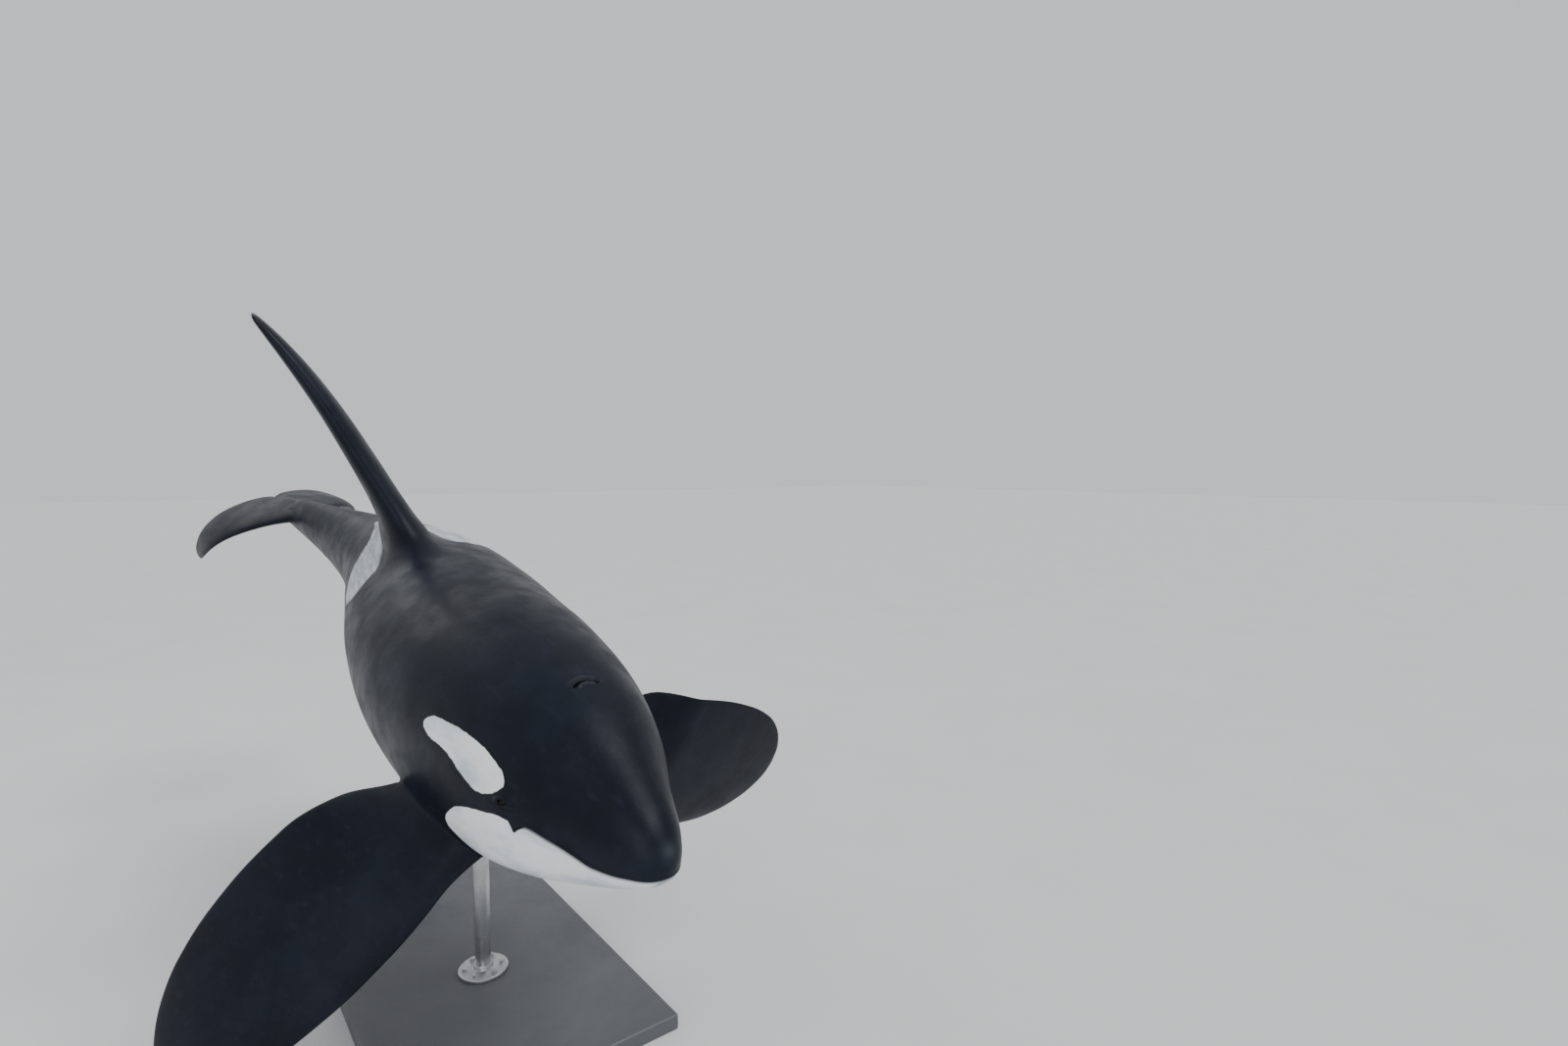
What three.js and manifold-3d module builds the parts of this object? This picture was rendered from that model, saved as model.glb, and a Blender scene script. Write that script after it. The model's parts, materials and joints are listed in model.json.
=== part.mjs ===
// A life-size adult male orca, swimming with a slight bend, held on a plain display stand.
// Millimetres, +Z up, +X ahead. The origin is on the floor, at the middle of the base.
//
// The animal is shaped straight first: snout at X = 0, tail towards -X, left side +Y,
// back +Z. Then the spine is bent, and the whole is turned and lifted onto the stand.

import * as THREE from 'three';
import { mergeVertices } from 'three/addons/utils/BufferGeometryUtils.js';
import Module from 'manifold-3d';

const wasm = await Module();
wasm.setup();

const { clamp, degToRad, lerp, smoothstep } = THREE.MathUtils;

// The driving size: snout to the notch between the flukes
const bodyLength = 6800;

// Touching solids keep this far apart
const touchGap = 0.3;

// The trunk is swollen by a little more than the gap where it cuts other solids
const trunkClearance = 0.32;

// The trunk's outline. Each row: share of the length behind the snout, then the top, the
// underside, the half width and the height of the widest level, all as shares of the
// length, and how full the section is (2 is an ellipse, less is keeled).
const trunkStations = [
  [0.000, -0.0055, -0.0065, 0.0005, -0.006, 2.0],
  [0.006, 0.0090, -0.0195, 0.0140, -0.007, 2.1],
  [0.020, 0.0225, -0.0280, 0.0230, -0.008, 2.15],
  [0.052, 0.0420, -0.0435, 0.0370, -0.010, 2.15],
  [0.096, 0.0670, -0.0610, 0.0580, -0.010, 2.2],
  [0.130, 0.0790, -0.0725, 0.0690, -0.008, 2.2],
  [0.185, 0.0910, -0.0865, 0.0800, -0.004, 2.15],
  [0.255, 0.0965, -0.0975, 0.0890, 0.000, 2.1],
  [0.343, 0.0960, -0.1035, 0.0945, 0.000, 2.0],
  [0.431, 0.0890, -0.1025, 0.0905, 0.000, 2.0],
  [0.529, 0.0770, -0.0910, 0.0765, 0.000, 2.0],
  [0.627, 0.0620, -0.0710, 0.0545, 0.000, 1.9],
  [0.725, 0.0490, -0.0520, 0.0360, 0.000, 1.8],
  [0.824, 0.0360, -0.0340, 0.0210, 0.002, 1.7],
  [0.902, 0.0255, -0.0210, 0.0130, 0.003, 1.7],
  [0.951, 0.0170, -0.0110, 0.0100, 0.003, 1.8],
  [0.985, 0.0090, -0.0050, 0.0060, 0.002, 2.0],
];
const trunkSides = 40;

// The trunk is parted into lengths at these shares of the length
const snoutStart = 0.0004;
const neckCut = 0.155;
const waistCut = 0.300;
const loinCut = 0.580;
const stockCut = 0.750;
const trunkEnd = 0.985;

// Rings in each length
const headRings = 14;
const headSpread = 1.7;
const chestRings = 6;
const torsoRings = 10;
const loinRings = 7;
const stockRings = 10;

// How the spine bends, going back from the chest: yaw swings the tail to the right, pitch
// lifts it, and twist lifts its left side. Each turn, in degrees, builds up smoothly
// between two shares of the length.
const yawBends = [
  { degrees: -6.1, from: 0.10, to: 0.46 },
  { degrees: 17.6, from: 0.43, to: 0.78 },
  { degrees: -3.4, from: 0.72, to: 1.00 },
];
const pitchBends = [
  { degrees: 4.6, from: 0.10, to: 0.46 },
  { degrees: -4.2, from: 0.72, to: 1.00 },
  { degrees: 4.2, from: 0.88, to: 0.98 },
];
const twistBends = [
  { degrees: 23.9, from: 0.14, to: 0.43 },
  { degrees: -9, from: 0.60, to: 0.95 },
];
const chestShare = 0.264;
const spineStep = 20;
const spineStart = -0.10;
const spineEnd = 1.15;

// How the animal is held: the chest's place above the floor, and its attitude there
const chestAhead = 820;
const chestLeft = 0;
const chestHeight = 1900;
const noseDownDegrees = 10.2;
const bankDegrees = 6.1;

// Eyes, on the trunk's surface: share of the length, and the angle round the section
// from the left side, up over the back
const eyeShare = 0.1035;
const eyeAngleDegrees = 8;
const eyeRadius = 30;
const eyeDepth = 21;
const lidWidth = 42;
const lidHeight = 30;
const lidThickness = 9;
const browLength = 105;
const browHeight = 66;
const browThickness = 22;

// Blowhole: a crescent slit on top of the head, its ends pointing at the snout. The share
// is where the middle of its circle lies.
const blowholeShare = 0.100;
const blowholeRadius = 110;
const blowholeSlit = 12;
const blowholeHalfAngleDegrees = 45;
const blowholeDepth = 45;
const blowholeLipLength = 60;
const blowholeLipWidth = 80;
const blowholeLipHeight = 13;

// The line of the mouth, seen from the side: share of the length behind the snout, and
// height as a share of the length. The last row is the corner of the mouth.
const mouthLine = [
  [0.000, -0.0135],
  [0.010, -0.0142],
  [0.024, -0.0160],
  [0.036, -0.0164],
  [0.050, -0.0136],
  [0.067, -0.0098],
  [0.084, -0.0068],
  [0.0905, -0.0100],
];
const mouthSteps = 13;
const mouthGroove = 8;
const mouthGrooveDepth = 14;
const coreStart = 0.003;
const jawEndShare = 0.130;
const jawEndHeight = -0.09;
const lipRadius = 13;
const lipFromLine = 15;
const lipSink = 6;
const lipSides = 6;
const upperLipStart = 0.0016;
const lowerLipStart = 0.0045;

// Room left round the head by the shapes that cut it
const aheadOfSnout = 200;
const headCutWidth = 1600;
const belowHead = -800;

// Dorsal fin. Each row: share of the height, then how far the front and rear edges lie
// behind the snout, and the thickness. It leans and curls over to the right, and its
// upper part is turned a little about its height.
const dorsalHeight = 1605;
const dorsalFoot = 597;
const dorsalLeanDegrees = 3.2;
const dorsalCurlDegrees = 19;
const dorsalTwistDegrees = -7;
const dorsalTwistFrom = 0.08;
const dorsalTwistTo = 0.5;
const dorsalRows = [
  [-0.08, 2600, 4080, 350],
  [0.00, 2725, 3965, 300],
  [0.047, 2825, 3865, 260],
  [0.104, 2940, 3785, 215],
  [0.190, 3030, 3750, 185],
  [0.333, 3130, 3745, 162],
  [0.523, 3237, 3745, 138],
  [0.714, 3345, 3745, 112],
  [0.857, 3433, 3737, 82],
  [0.943, 3492, 3717, 54],
  [0.986, 3541, 3678, 29],
  [1.00, 3590, 3629, 6],
];

// Flippers. Each row: share of the span from the root, then the front and rear edges
// measured ahead of the flipper's axis, and the thickness.
const flipperSpan = 1660;
const flipperRoot = new THREE.Vector3(-1411, 421, -360);
const flipperRows = [
  [-0.10, 340, -250, 260],
  [0.00, 330, -280, 240],
  [0.08, 335, -355, 200],
  [0.20, 365, -490, 165],
  [0.35, 395, -550, 135],
  [0.50, 410, -560, 115],
  [0.65, 395, -540, 95],
  [0.80, 330, -475, 70],
  [0.90, 235, -375, 50],
  [0.96, 135, -265, 32],
  [0.99, 40, -170, 18],
  [1.00, -35, -90, 6],
];

// How each flipper is held: swept back, dropped, its front edge raised, and bent down
// towards the tip. At the root only part of the raise is there; the rest builds up to
// the given share of the span.
const flipperPoses = {
  left: { sweep: 11, drop: 22, raise: -97, droop: 6 },
  right: { sweep: 6.9, drop: 37.8, raise: -51, droop: 5.7 },
};
const flipperRootRaise = 0.6;
const flipperRaiseShare = 0.35;

// Flukes. Each row: share of the half span, then the front and rear edges as shares of
// the length behind the snout, and the thickness.
const flukeHalfSpan = 960;
const flukeHeight = 67;
const flukeRiseDegrees = -8;
const flukeCurlDegrees = 98;
const flukeCurlPower = 2.2;
const flukeRows = [
  [0.00, 0.852, 0.992, 155],
  [0.10, 0.864, 1.003, 128],
  [0.25, 0.886, 1.012, 98],
  [0.45, 0.913, 1.018, 78],
  [0.65, 0.945, 1.022, 59],
  [0.82, 0.976, 1.027, 44],
  [0.93, 1.002, 1.034, 28],
  [0.98, 1.018, 1.036, 15],
  [1.00, 1.028, 1.035, 5],
];
const finSteps = 13;
const finSides = 8;
const finTipShares = [0.93, 0.97, 0.99, 1.00];

// A fin's slope builds up over this share of its span
const finRootShare = 0.12;

// A fin's section is fuller towards its front edge: how much so, and the height of the
// curve sin(a) * (1 + bladeFullness * cos(a)) at its highest
const bladeFullness = 0.45;
const bladePeak = 1.084;

// Display stand
const baseLength = 3000;
const baseWidth = 1500;
const baseThickness = 90;
const baseEdge = 12;
const turnedSides = 24;
const rodRadius = 48;
const rodShares = [0.33, 0.58];
const flangeRadius = 150;
const flangeThickness = 22;
const flangeEdge = 5;
const cupRadius = 120;
const cupNeckRadius = 62;
const cupHeight = 150;
const cupSink = 60;

// Finishes
const finishes = {
  blackSkin: { color: 0x0b1220, roughness: 0.35, metalness: 0 },
  whiteSkin: { color: 0xe6edf0, roughness: 0.4, metalness: 0 },
  eye: { color: 0x1b120c, roughness: 0.08, metalness: 0 },
  base: { color: 0x2b2e33, roughness: 0.6, metalness: 0 },
  steel: { color: 0xa9adb2, roughness: 0.35, metalness: 1 },
};

// Curves through rows of numbers

function monotoneCurve(xs, ys) {
  const steps = xs.slice(1).map((x, i) => x - xs[i]);
  const slopes = steps.map((step, i) => (ys[i + 1] - ys[i]) / step);
  const tangents = xs.map((x, i) => {
    if (i === 0) return slopes[0];
    if (i === xs.length - 1) return slopes[i - 1];
    if (slopes[i - 1] * slopes[i] <= 0) return 0;
    const before = 2 * steps[i] + steps[i - 1];
    const after = steps[i] + 2 * steps[i - 1];
    return (before + after) / (before / slopes[i - 1] + after / slopes[i]);
  });
  return (x) => {
    const i = clamp(xs.findIndex((knot) => knot > x) - 1, 0, steps.length - 1);
    const last = x >= xs[xs.length - 1] ? steps.length - 1 : i;
    const t = clamp((x - xs[last]) / steps[last], 0, 1);
    const rise = ys[last + 1] - ys[last];
    const start = tangents[last] * steps[last];
    const end = tangents[last + 1] * steps[last];
    return ys[last] + t * (start + t * (3 * rise - 2 * start - end + t * (start + end - 2 * rise)));
  };
}

// Returns a function that gives all the columns of the rows at x
function curveThrough(rows, warp = (x) => x) {
  const xs = rows.map((row) => warp(row[0]));
  const columns = rows[0].slice(1).map((first, k) => monotoneCurve(xs, rows.map((row) => row[k + 1])));
  return (x) => columns.map((column) => column(warp(x)));
}

// Solids and geometries

function indexedGeometry(positions, index) {
  const geometry = new THREE.BufferGeometry();
  geometry.setAttribute('position', new THREE.Float32BufferAttribute(positions, 3));
  geometry.setIndex(index);
  return geometry;
}

function toSolid(geometry) {
  const bare = geometry.clone();
  bare.deleteAttribute('normal');
  bare.deleteAttribute('uv');
  const merged = mergeVertices(bare, 1e-3);
  const vertProperties = new Float32Array(merged.attributes.position.array);
  const triVerts = new Uint32Array(merged.index.array);
  return new wasm.Manifold(new wasm.Mesh({ numProp: 3, vertProperties, triVerts }));
}

function toGeometry(solid) {
  const { vertProperties, triVerts } = solid.getMesh();
  return indexedGeometry(Array.from(vertProperties), Array.from(triVerts));
}

function largestPiece(solid) {
  return solid.decompose().reduce((best, piece) => (piece.volume() > best.volume() ? piece : best));
}

// The same shape with its surface moved out
function swollen(geometry, distance) {
  const grown = geometry.clone();
  grown.computeVertexNormals();
  const { position, normal } = grown.attributes;
  for (let i = 0; i < position.count; i += 1) {
    const x = position.getX(i) + normal.getX(i) * distance;
    const y = position.getY(i) + normal.getY(i) * distance;
    const z = position.getZ(i) + normal.getZ(i) * distance;
    position.setXYZ(i, x, y, z);
  }
  grown.deleteAttribute('normal');
  return grown;
}

function signedVolume(positions, index) {
  const corner = (i) => new THREE.Vector3().fromArray(positions, index[i] * 3);
  let volume = 0;
  for (let i = 0; i < index.length; i += 3) {
    volume += corner(i).dot(corner(i + 1).cross(corner(i + 2))) / 6;
  }
  return volume;
}

// A closed skin over rings of points. Each ring's points run round from the first edge to
// the second and back; the way back is split the other way, so that both faces of a thin
// fin have the same triangles.
function loftRings(rings) {
  const sides = rings[0].length;
  const middles = [rings[0], rings[rings.length - 1]].map((ring) => {
    const sum = ring.reduce((total, point) => total.add(point), new THREE.Vector3());
    return sum.divideScalar(sides);
  });
  const positions = [...rings.flat(), ...middles].flatMap((point) => point.toArray());
  const startMiddle = rings.length * sides;
  const lastRing = (rings.length - 1) * sides;
  const index = [];
  for (let j = 0; j < sides; j += 1) {
    const next = (j + 1) % sides;
    for (let i = 0; i < lastRing; i += sides) {
      const [a, b, c, d] = [i + j, i + next, i + sides + j, i + sides + next];
      index.push(...(j < sides / 2 ? [a, b, d, a, d, c] : [a, b, c, b, d, c]));
    }
    index.push(startMiddle, next, j);
    index.push(startMiddle + 1, lastRing + j, lastRing + next);
  }
  if (signedVolume(positions, index) < 0) index.reverse();
  return indexedGeometry(positions, index);
}

// The bent spine

function turnAt(bends, share) {
  return bends.reduce((sum, bend) => sum + bend.degrees * smoothstep(share, bend.from, bend.to), 0);
}

function spineTurn(share) {
  const turn = (bends) => degToRad(turnAt(bends, share) - turnAt(bends, chestShare));
  const angles = new THREE.Euler(turn(twistBends), turn(pitchBends), turn(yawBends), 'ZYX');
  return new THREE.Quaternion().setFromEuler(angles);
}

// Points along the spine's middle with the turn at each, evenly spaced, chest at its place
function makeSpine() {
  const first = Math.round((spineStart * bodyLength) / spineStep);
  const last = Math.round((spineEnd * bodyLength) / spineStep);
  const chest = Math.round((chestShare * bodyLength) / spineStep);
  const spine = [];
  const place = new THREE.Vector3();
  for (let i = first; i <= last; i += 1) {
    const turn = spineTurn((i * spineStep) / bodyLength);
    place.add(new THREE.Vector3(-spineStep, 0, 0).applyQuaternion(turn));
    spine.push({ place: place.clone(), turn });
  }
  const offset = new THREE.Vector3(-chest * spineStep, 0, 0).sub(spine[chest - first].place);
  spine.forEach((station) => station.place.add(offset));
  return { first, spine };
}

const { first: firstStation, spine } = makeSpine();

// Moves a point of the straight animal to where the bent spine carries it
function bent(point) {
  const along = -point.x / spineStep - firstStation;
  const i = clamp(Math.floor(along), 0, spine.length - 2);
  const fraction = along - i;
  const offset = new THREE.Vector3(0, point.y, point.z);
  const [here, next] = [spine[i], spine[i + 1]].map(({ place, turn }) => (
    offset.clone().applyQuaternion(turn).add(place)
  ));
  return here.lerp(next, fraction);
}

function bentRings(rings) {
  return rings.map((ring) => ring.map(bent));
}

function bentGeometry(geometry) {
  const { position } = geometry.attributes;
  const point = new THREE.Vector3();
  for (let i = 0; i < position.count; i += 1) {
    point.copy(bent(point.fromBufferAttribute(position, i)));
    position.setXYZ(i, point.x, point.y, point.z);
  }
  return geometry;
}

// Trunk

const trunkShape = curveThrough(trunkStations, Math.sqrt);

function trunkPoint(share, angle) {
  const [top, under, half, level, fullness] = trunkShape(share);
  const across = Math.cos(angle);
  const up = Math.sin(angle);
  const power = 2 / fullness;
  const reach = up >= 0 ? top - level : level - under;
  const y = half * Math.sign(across) * Math.abs(across) ** power;
  const z = level + reach * Math.sign(up) * Math.abs(up) ** power;
  return new THREE.Vector3(-share, y, z).multiplyScalar(bodyLength);
}

function trunkRing(share) {
  const angles = Array.from({ length: trunkSides }, (_, j) => (2 * Math.PI * j) / trunkSides);
  return angles.map((angle) => trunkPoint(share, angle));
}

// Shares from start to end; a spread above 1 sets them closer together near the start
function sharesBetween(start, end, count, spread = 1) {
  return Array.from({ length: count }, (_, i) => lerp(start, end, (i / (count - 1)) ** spread));
}

function headShares() {
  return sharesBetween(snoutStart, neckCut, headRings, headSpread);
}

function trunkLength(shares) {
  const halfGap = touchGap / 2 / bodyLength;
  const trimmed = [...shares];
  if (shares[0] > snoutStart) trimmed[0] += halfGap;
  if (shares[shares.length - 1] < trunkEnd) trimmed[shares.length - 1] -= halfGap;
  return loftRings(bentRings(trimmed.map(trunkRing)));
}

// The whole trunk in one, for cutting what grows from it
function wholeTrunk() {
  const lengths = [
    headShares(),
    sharesBetween(neckCut, waistCut, chestRings),
    sharesBetween(waistCut, loinCut, torsoRings),
    sharesBetween(loinCut, stockCut, loinRings),
    sharesBetween(stockCut, trunkEnd, stockRings),
  ];
  const shares = lengths.flatMap((length, i) => (i === 0 ? length : length.slice(1)));
  return loftRings(bentRings(shares.map(trunkRing)));
}

// A frame on the trunk's surface: the point, the way out, and the way back to the tail
function surfaceFrame(share, angle) {
  const step = 0.002;
  const point = trunkPoint(share, angle);
  const back = trunkPoint(share + step, angle).sub(point).normalize();
  const round = trunkPoint(share, angle + step).sub(point).normalize();
  const out = round.clone().cross(back).normalize();
  return { point, back, out };
}

// Head and jaw

const mouthCurve = curveThrough(mouthLine);
const mouthCorner = mouthLine[mouthLine.length - 1][0];

// Points of the mouth line in the side view, from the corner to ahead of the snout
function mouthProfile() {
  const shares = sharesBetween(mouthCorner, 0, mouthSteps);
  const points = shares.map((share) => (
    new THREE.Vector2(-share * bodyLength, mouthCurve(share)[0] * bodyLength)
  ));
  const tip = points[points.length - 1];
  return [...points, new THREE.Vector2(aheadOfSnout, tip.y)];
}

// A shape drawn in the side view, carried across the whole head and bent with it
function acrossHead(outline) {
  const options = { depth: headCutWidth, bevelEnabled: false };
  const geometry = new THREE.ExtrudeGeometry(new THREE.Shape(outline), options);
  geometry.rotateX(Math.PI / 2);
  geometry.translate(0, headCutWidth / 2, 0);
  return toSolid(bentGeometry(geometry));
}

// Everything below the mouth line and ahead of the throat
function jawRegion(gap) {
  const lifted = mouthProfile().map((point) => new THREE.Vector2(point.x + gap, point.y - gap));
  const front = lifted[lifted.length - 1];
  const throat = new THREE.Vector2(-jawEndShare * bodyLength + gap, jawEndHeight * bodyLength - gap);
  const under = [front.x, throat.x].map((x) => new THREE.Vector2(x, belowHead));
  return acrossHead([...lifted, ...under, throat]);
}

// The head's inside, which the mouth groove leaves whole
function headCore() {
  const rings = sharesBetween(coreStart, neckCut, headRings, headSpread).map((share) => {
    const [, , half, level] = trunkShape(share);
    const middle = new THREE.Vector3(-share, 0, level).multiplyScalar(bodyLength);
    const inward = mouthGrooveDepth / (half * bodyLength);
    return trunkRing(share).map((point) => point.lerp(middle, inward));
  });
  return toSolid(loftRings(bentRings(rings)));
}

// The groove between the lips, cut only as deep as it shows
function mouthGrooveSolid() {
  const line = mouthProfile();
  const above = line.map((point) => new THREE.Vector2(point.x, point.y + mouthGroove / 2));
  const below = line.map((point) => new THREE.Vector2(point.x, point.y - mouthGroove / 2));
  return acrossHead([...above, ...below.reverse()]).subtract(headCore());
}

// A point of the trunk's surface on one side, at a given height
function sidePoint(share, height, side) {
  const [top, under, half, level, fullness] = trunkShape(share);
  const reach = height > level ? top - level : level - under;
  const out = Math.max(0, 1 - Math.abs((height - level) / reach) ** fullness) ** (1 / fullness);
  return new THREE.Vector3(-share, side * half * out, height).multiplyScalar(bodyLength);
}

// A rounded strip along the mouth, from one corner round the snout to the other
function lipSolid(offset, start) {
  const heightAt = (share) => mouthCurve(share)[0] + offset / bodyLength;
  const shares = sharesBetween(start, mouthCorner, mouthSteps, 1.5);
  const right = shares.map((share) => sidePoint(share, heightAt(share), -1)).reverse();
  const left = shares.map((share) => sidePoint(share, heightAt(share), 1));
  const path = new THREE.CatmullRomCurve3([...right, ...left]);
  const steps = 2 * mouthSteps;
  const rings = Array.from({ length: steps + 1 }, (_, i) => {
    const t = i / steps;
    const along = path.getTangentAt(t);
    const inward = new THREE.Vector3(0, 0, 1).cross(along).normalize();
    const middle = path.getPointAt(t).addScaledVector(inward, lipSink);
    const radius = lipRadius * Math.sin(Math.PI * clamp(t, 0.04, 0.96)) ** 0.35;
    return Array.from({ length: lipSides }, (__, j) => {
      const angle = (2 * Math.PI * j) / lipSides;
      const up = new THREE.Vector3(0, 0, Math.sin(angle) * radius);
      return middle.clone().addScaledVector(inward, Math.cos(angle) * radius).add(up);
    });
  });
  return toSolid(loftRings(bentRings(rings)));
}

// Turns a geometry made about the origin, X back along the body and Z out, to a frame
// on the trunk
function seated(geometry, { point, back, out }, depth) {
  const round = out.clone().cross(back);
  const basis = new THREE.Matrix4().makeBasis(back, round, out);
  basis.setPosition(point.clone().addScaledVector(out, -depth));
  return bentGeometry(geometry.applyMatrix4(basis));
}

function eyeFrame(side) {
  const angle = degToRad(side > 0 ? eyeAngleDegrees : 180 - eyeAngleDegrees);
  return surfaceFrame(eyeShare, angle);
}

function eyeball(side, radius) {
  return seated(new THREE.SphereGeometry(radius, 14, 8), eyeFrame(side), eyeDepth);
}

function eyelids(side) {
  const rim = new THREE.TorusGeometry(1, lidThickness / lidWidth, 6, 16);
  rim.scale(lidWidth, lidHeight, lidWidth);
  return toSolid(seated(rim, eyeFrame(side), 0));
}

function brow(side) {
  const swelling = new THREE.SphereGeometry(1, 16, 8);
  swelling.scale(browLength, browHeight, browThickness);
  return toSolid(seated(swelling, eyeFrame(side), browThickness / 3));
}

function blowholeSlitSolid() {
  const half = degToRad(blowholeHalfAngleDegrees);
  const outer = blowholeRadius + blowholeSlit / 2;
  const inner = blowholeRadius - blowholeSlit / 2;
  const shape = new THREE.Shape();
  shape.absarc(0, 0, outer, -half, half, false);
  shape.absarc(0, 0, inner, half, -half, true);
  const options = { depth: 2 * blowholeDepth, bevelEnabled: false, curveSegments: 8 };
  const slit = new THREE.ExtrudeGeometry(shape, options);
  return toSolid(seated(slit, surfaceFrame(blowholeShare, Math.PI / 2), blowholeDepth));
}

// The swelling ahead of the slit
function blowholeLip() {
  const lip = new THREE.SphereGeometry(1, 16, 8);
  lip.scale(blowholeLipLength, blowholeLipWidth, 2 * blowholeLipHeight);
  lip.translate(blowholeRadius - blowholeLipLength, 0, 0);
  return toSolid(seated(lip, surfaceFrame(blowholeShare, Math.PI / 2), blowholeLipHeight));
}

function headAndJaw() {
  const plain = toSolid(trunkLength(headShares()));
  const groove = mouthGrooveSolid();
  let head = plain.add(lipSolid(lipFromLine, upperLipStart)).add(blowholeLip());
  [1, -1].forEach((side) => {
    head = head.add(brow(side)).add(eyelids(side)).subtract(toSolid(eyeball(side, eyeRadius + touchGap)));
  });
  head = head.subtract(blowholeSlitSolid()).subtract(jawRegion(0)).subtract(groove);
  const lowerLip = lipSolid(-lipFromLine, lowerLipStart);
  const jaw = plain.add(lowerLip).intersect(jawRegion(touchGap)).subtract(groove);
  return [head, jaw].map((solid) => toGeometry(largestPiece(solid)));
}

// Fins

// Closer together near the root and the tip
function finShares(start) {
  return [...sharesBetween(start, 0.9, finSteps), ...finTipShares];
}

// A rounded blade section from the front edge over one face to the rear edge and back
function bladeRing(front, rear, thickness, normal) {
  return Array.from({ length: 2 * finSides }, (_, j) => {
    const angle = (Math.PI * j) / finSides;
    const curve = Math.sin(angle) * (1 + bladeFullness * Math.cos(angle));
    const height = (curve * thickness) / (2 * bladePeak);
    return front.clone().lerp(rear, (1 - Math.cos(angle)) / 2).addScaledVector(normal, height);
  });
}

// Walks out along a fin whose slope changes, and gives the place and slope at each share
function bentSpan(shares, span, slopeAt) {
  let across = 0;
  let rise = 0;
  let before = 0;
  const walk = (share) => {
    const steps = 20;
    const step = (share - before) / steps;
    for (let k = 0; k < steps; k += 1) {
      const slope = slopeAt(before + (k + 0.5) * step);
      across += Math.cos(slope) * step * span;
      rise += Math.sin(slope) * step * span;
    }
    before = share;
    return { share, across, rise, slope: slopeAt(share) };
  };
  return shares.map(walk);
}

function dorsalFin() {
  const shape = curveThrough(dorsalRows);
  const start = dorsalRows[0][0];
  const lean = degToRad(dorsalLeanDegrees);
  const curl = degToRad(dorsalCurlDegrees);
  const slopeAt = (share) => lean * clamp(share / finRootShare, 0, 1) + curl * clamp(share, 0, 1) ** 1.5;
  const rings = bentSpan(finShares(start), dorsalHeight, slopeAt).map((stop) => {
    const [front, rear, thickness] = shape(stop.share);
    const height = dorsalFoot + stop.across;
    const normal = new THREE.Vector3(0, Math.cos(stop.slope), Math.sin(stop.slope));
    const twist = degToRad(dorsalTwistDegrees) * smoothstep(stop.share, dorsalTwistFrom, dorsalTwistTo);
    const aside = (Math.sin(twist) * (rear - front)) / 2;
    const edges = [[front, aside], [rear, -aside]].map(([x, offset]) => (
      new THREE.Vector3(-x, -stop.rise, height).addScaledVector(normal, offset)
    ));
    return bladeRing(...edges, thickness, normal);
  });
  return loftRings(bentRings(rings));
}

function flipper(side, pose) {
  const shape = curveThrough(flipperRows);
  const root = new THREE.Vector3(flipperRoot.x, side * flipperRoot.y, flipperRoot.z);
  const sweep = degToRad(pose.sweep);
  const outAt = (drop) => new THREE.Vector3(
    -Math.sin(sweep),
    side * Math.cos(sweep) * Math.cos(drop),
    -Math.cos(sweep) * Math.sin(drop),
  );
  const rings = finShares(flipperRows[0][0]).map((share) => {
    const [front, rear, thickness] = shape(share);
    const droop = degToRad(pose.droop) * Math.max(share, 0);
    const out = outAt(degToRad(pose.drop) + droop);
    const middle = outAt(degToRad(pose.drop) + droop / 2).multiplyScalar(share * flipperSpan).add(root);
    const ahead = new THREE.Vector3(1, 0, 0).addScaledVector(out, -out.x).normalize();
    const raise = pose.raise * lerp(flipperRootRaise, 1, smoothstep(share, 0, flipperRaiseShare));
    ahead.applyAxisAngle(out, -side * degToRad(raise));
    const normal = ahead.clone().cross(out);
    const edges = [front, rear].map((reach) => middle.clone().addScaledVector(ahead, reach));
    return bladeRing(...edges, thickness, normal);
  });
  return loftRings(bentRings(rings));
}

function fluke(side) {
  const shape = curveThrough(flukeRows);
  const rise = degToRad(flukeRiseDegrees);
  const curl = degToRad(flukeCurlDegrees);
  const slopeAt = (share) => rise * smoothstep(share, 0, finRootShare) - curl * share ** flukeCurlPower;
  const rings = bentSpan(finShares(0), flukeHalfSpan, slopeAt).map((stop) => {
    const [front, rear, thickness] = shape(stop.share);
    const across = side * (touchGap / 2 + stop.across);
    const edges = [front, rear].map((share) => (
      new THREE.Vector3(-share * bodyLength, across, flukeHeight + stop.rise)
    ));
    const normal = new THREE.Vector3(0, -side * Math.sin(stop.slope), Math.cos(stop.slope));
    return bladeRing(...edges, thickness, normal);
  });
  return loftRings(bentRings(rings));
}

// Cuts away whatever of a fin lies within the trunk
function offTrunk(geometry, trunk) {
  return toGeometry(largestPiece(toSolid(geometry).subtract(trunk)));
}

// Stand

function standBase() {
  const shape = new THREE.Shape();
  const [x, y] = [baseLength / 2 - baseEdge, baseWidth / 2 - baseEdge];
  shape.moveTo(-x, -y);
  shape.lineTo(x, -y);
  shape.lineTo(x, y);
  shape.lineTo(-x, y);
  const bevel = { bevelEnabled: true, bevelSegments: 1, bevelSize: baseEdge, bevelThickness: baseEdge };
  const geometry = new THREE.ExtrudeGeometry(shape, { depth: baseThickness - 2 * baseEdge, ...bevel });
  return geometry.translate(0, 0, baseEdge);
}

// A profile of radius and height, turned about the upright axis
function turned(profile) {
  const points = profile.map(([radius, height]) => new THREE.Vector2(radius, height));
  return new THREE.LatheGeometry(points, turnedSides).rotateX(Math.PI / 2);
}

function rod(height) {
  return turned([[0, 0], [rodRadius, 0], [rodRadius, height], [0, height]]);
}

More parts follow.
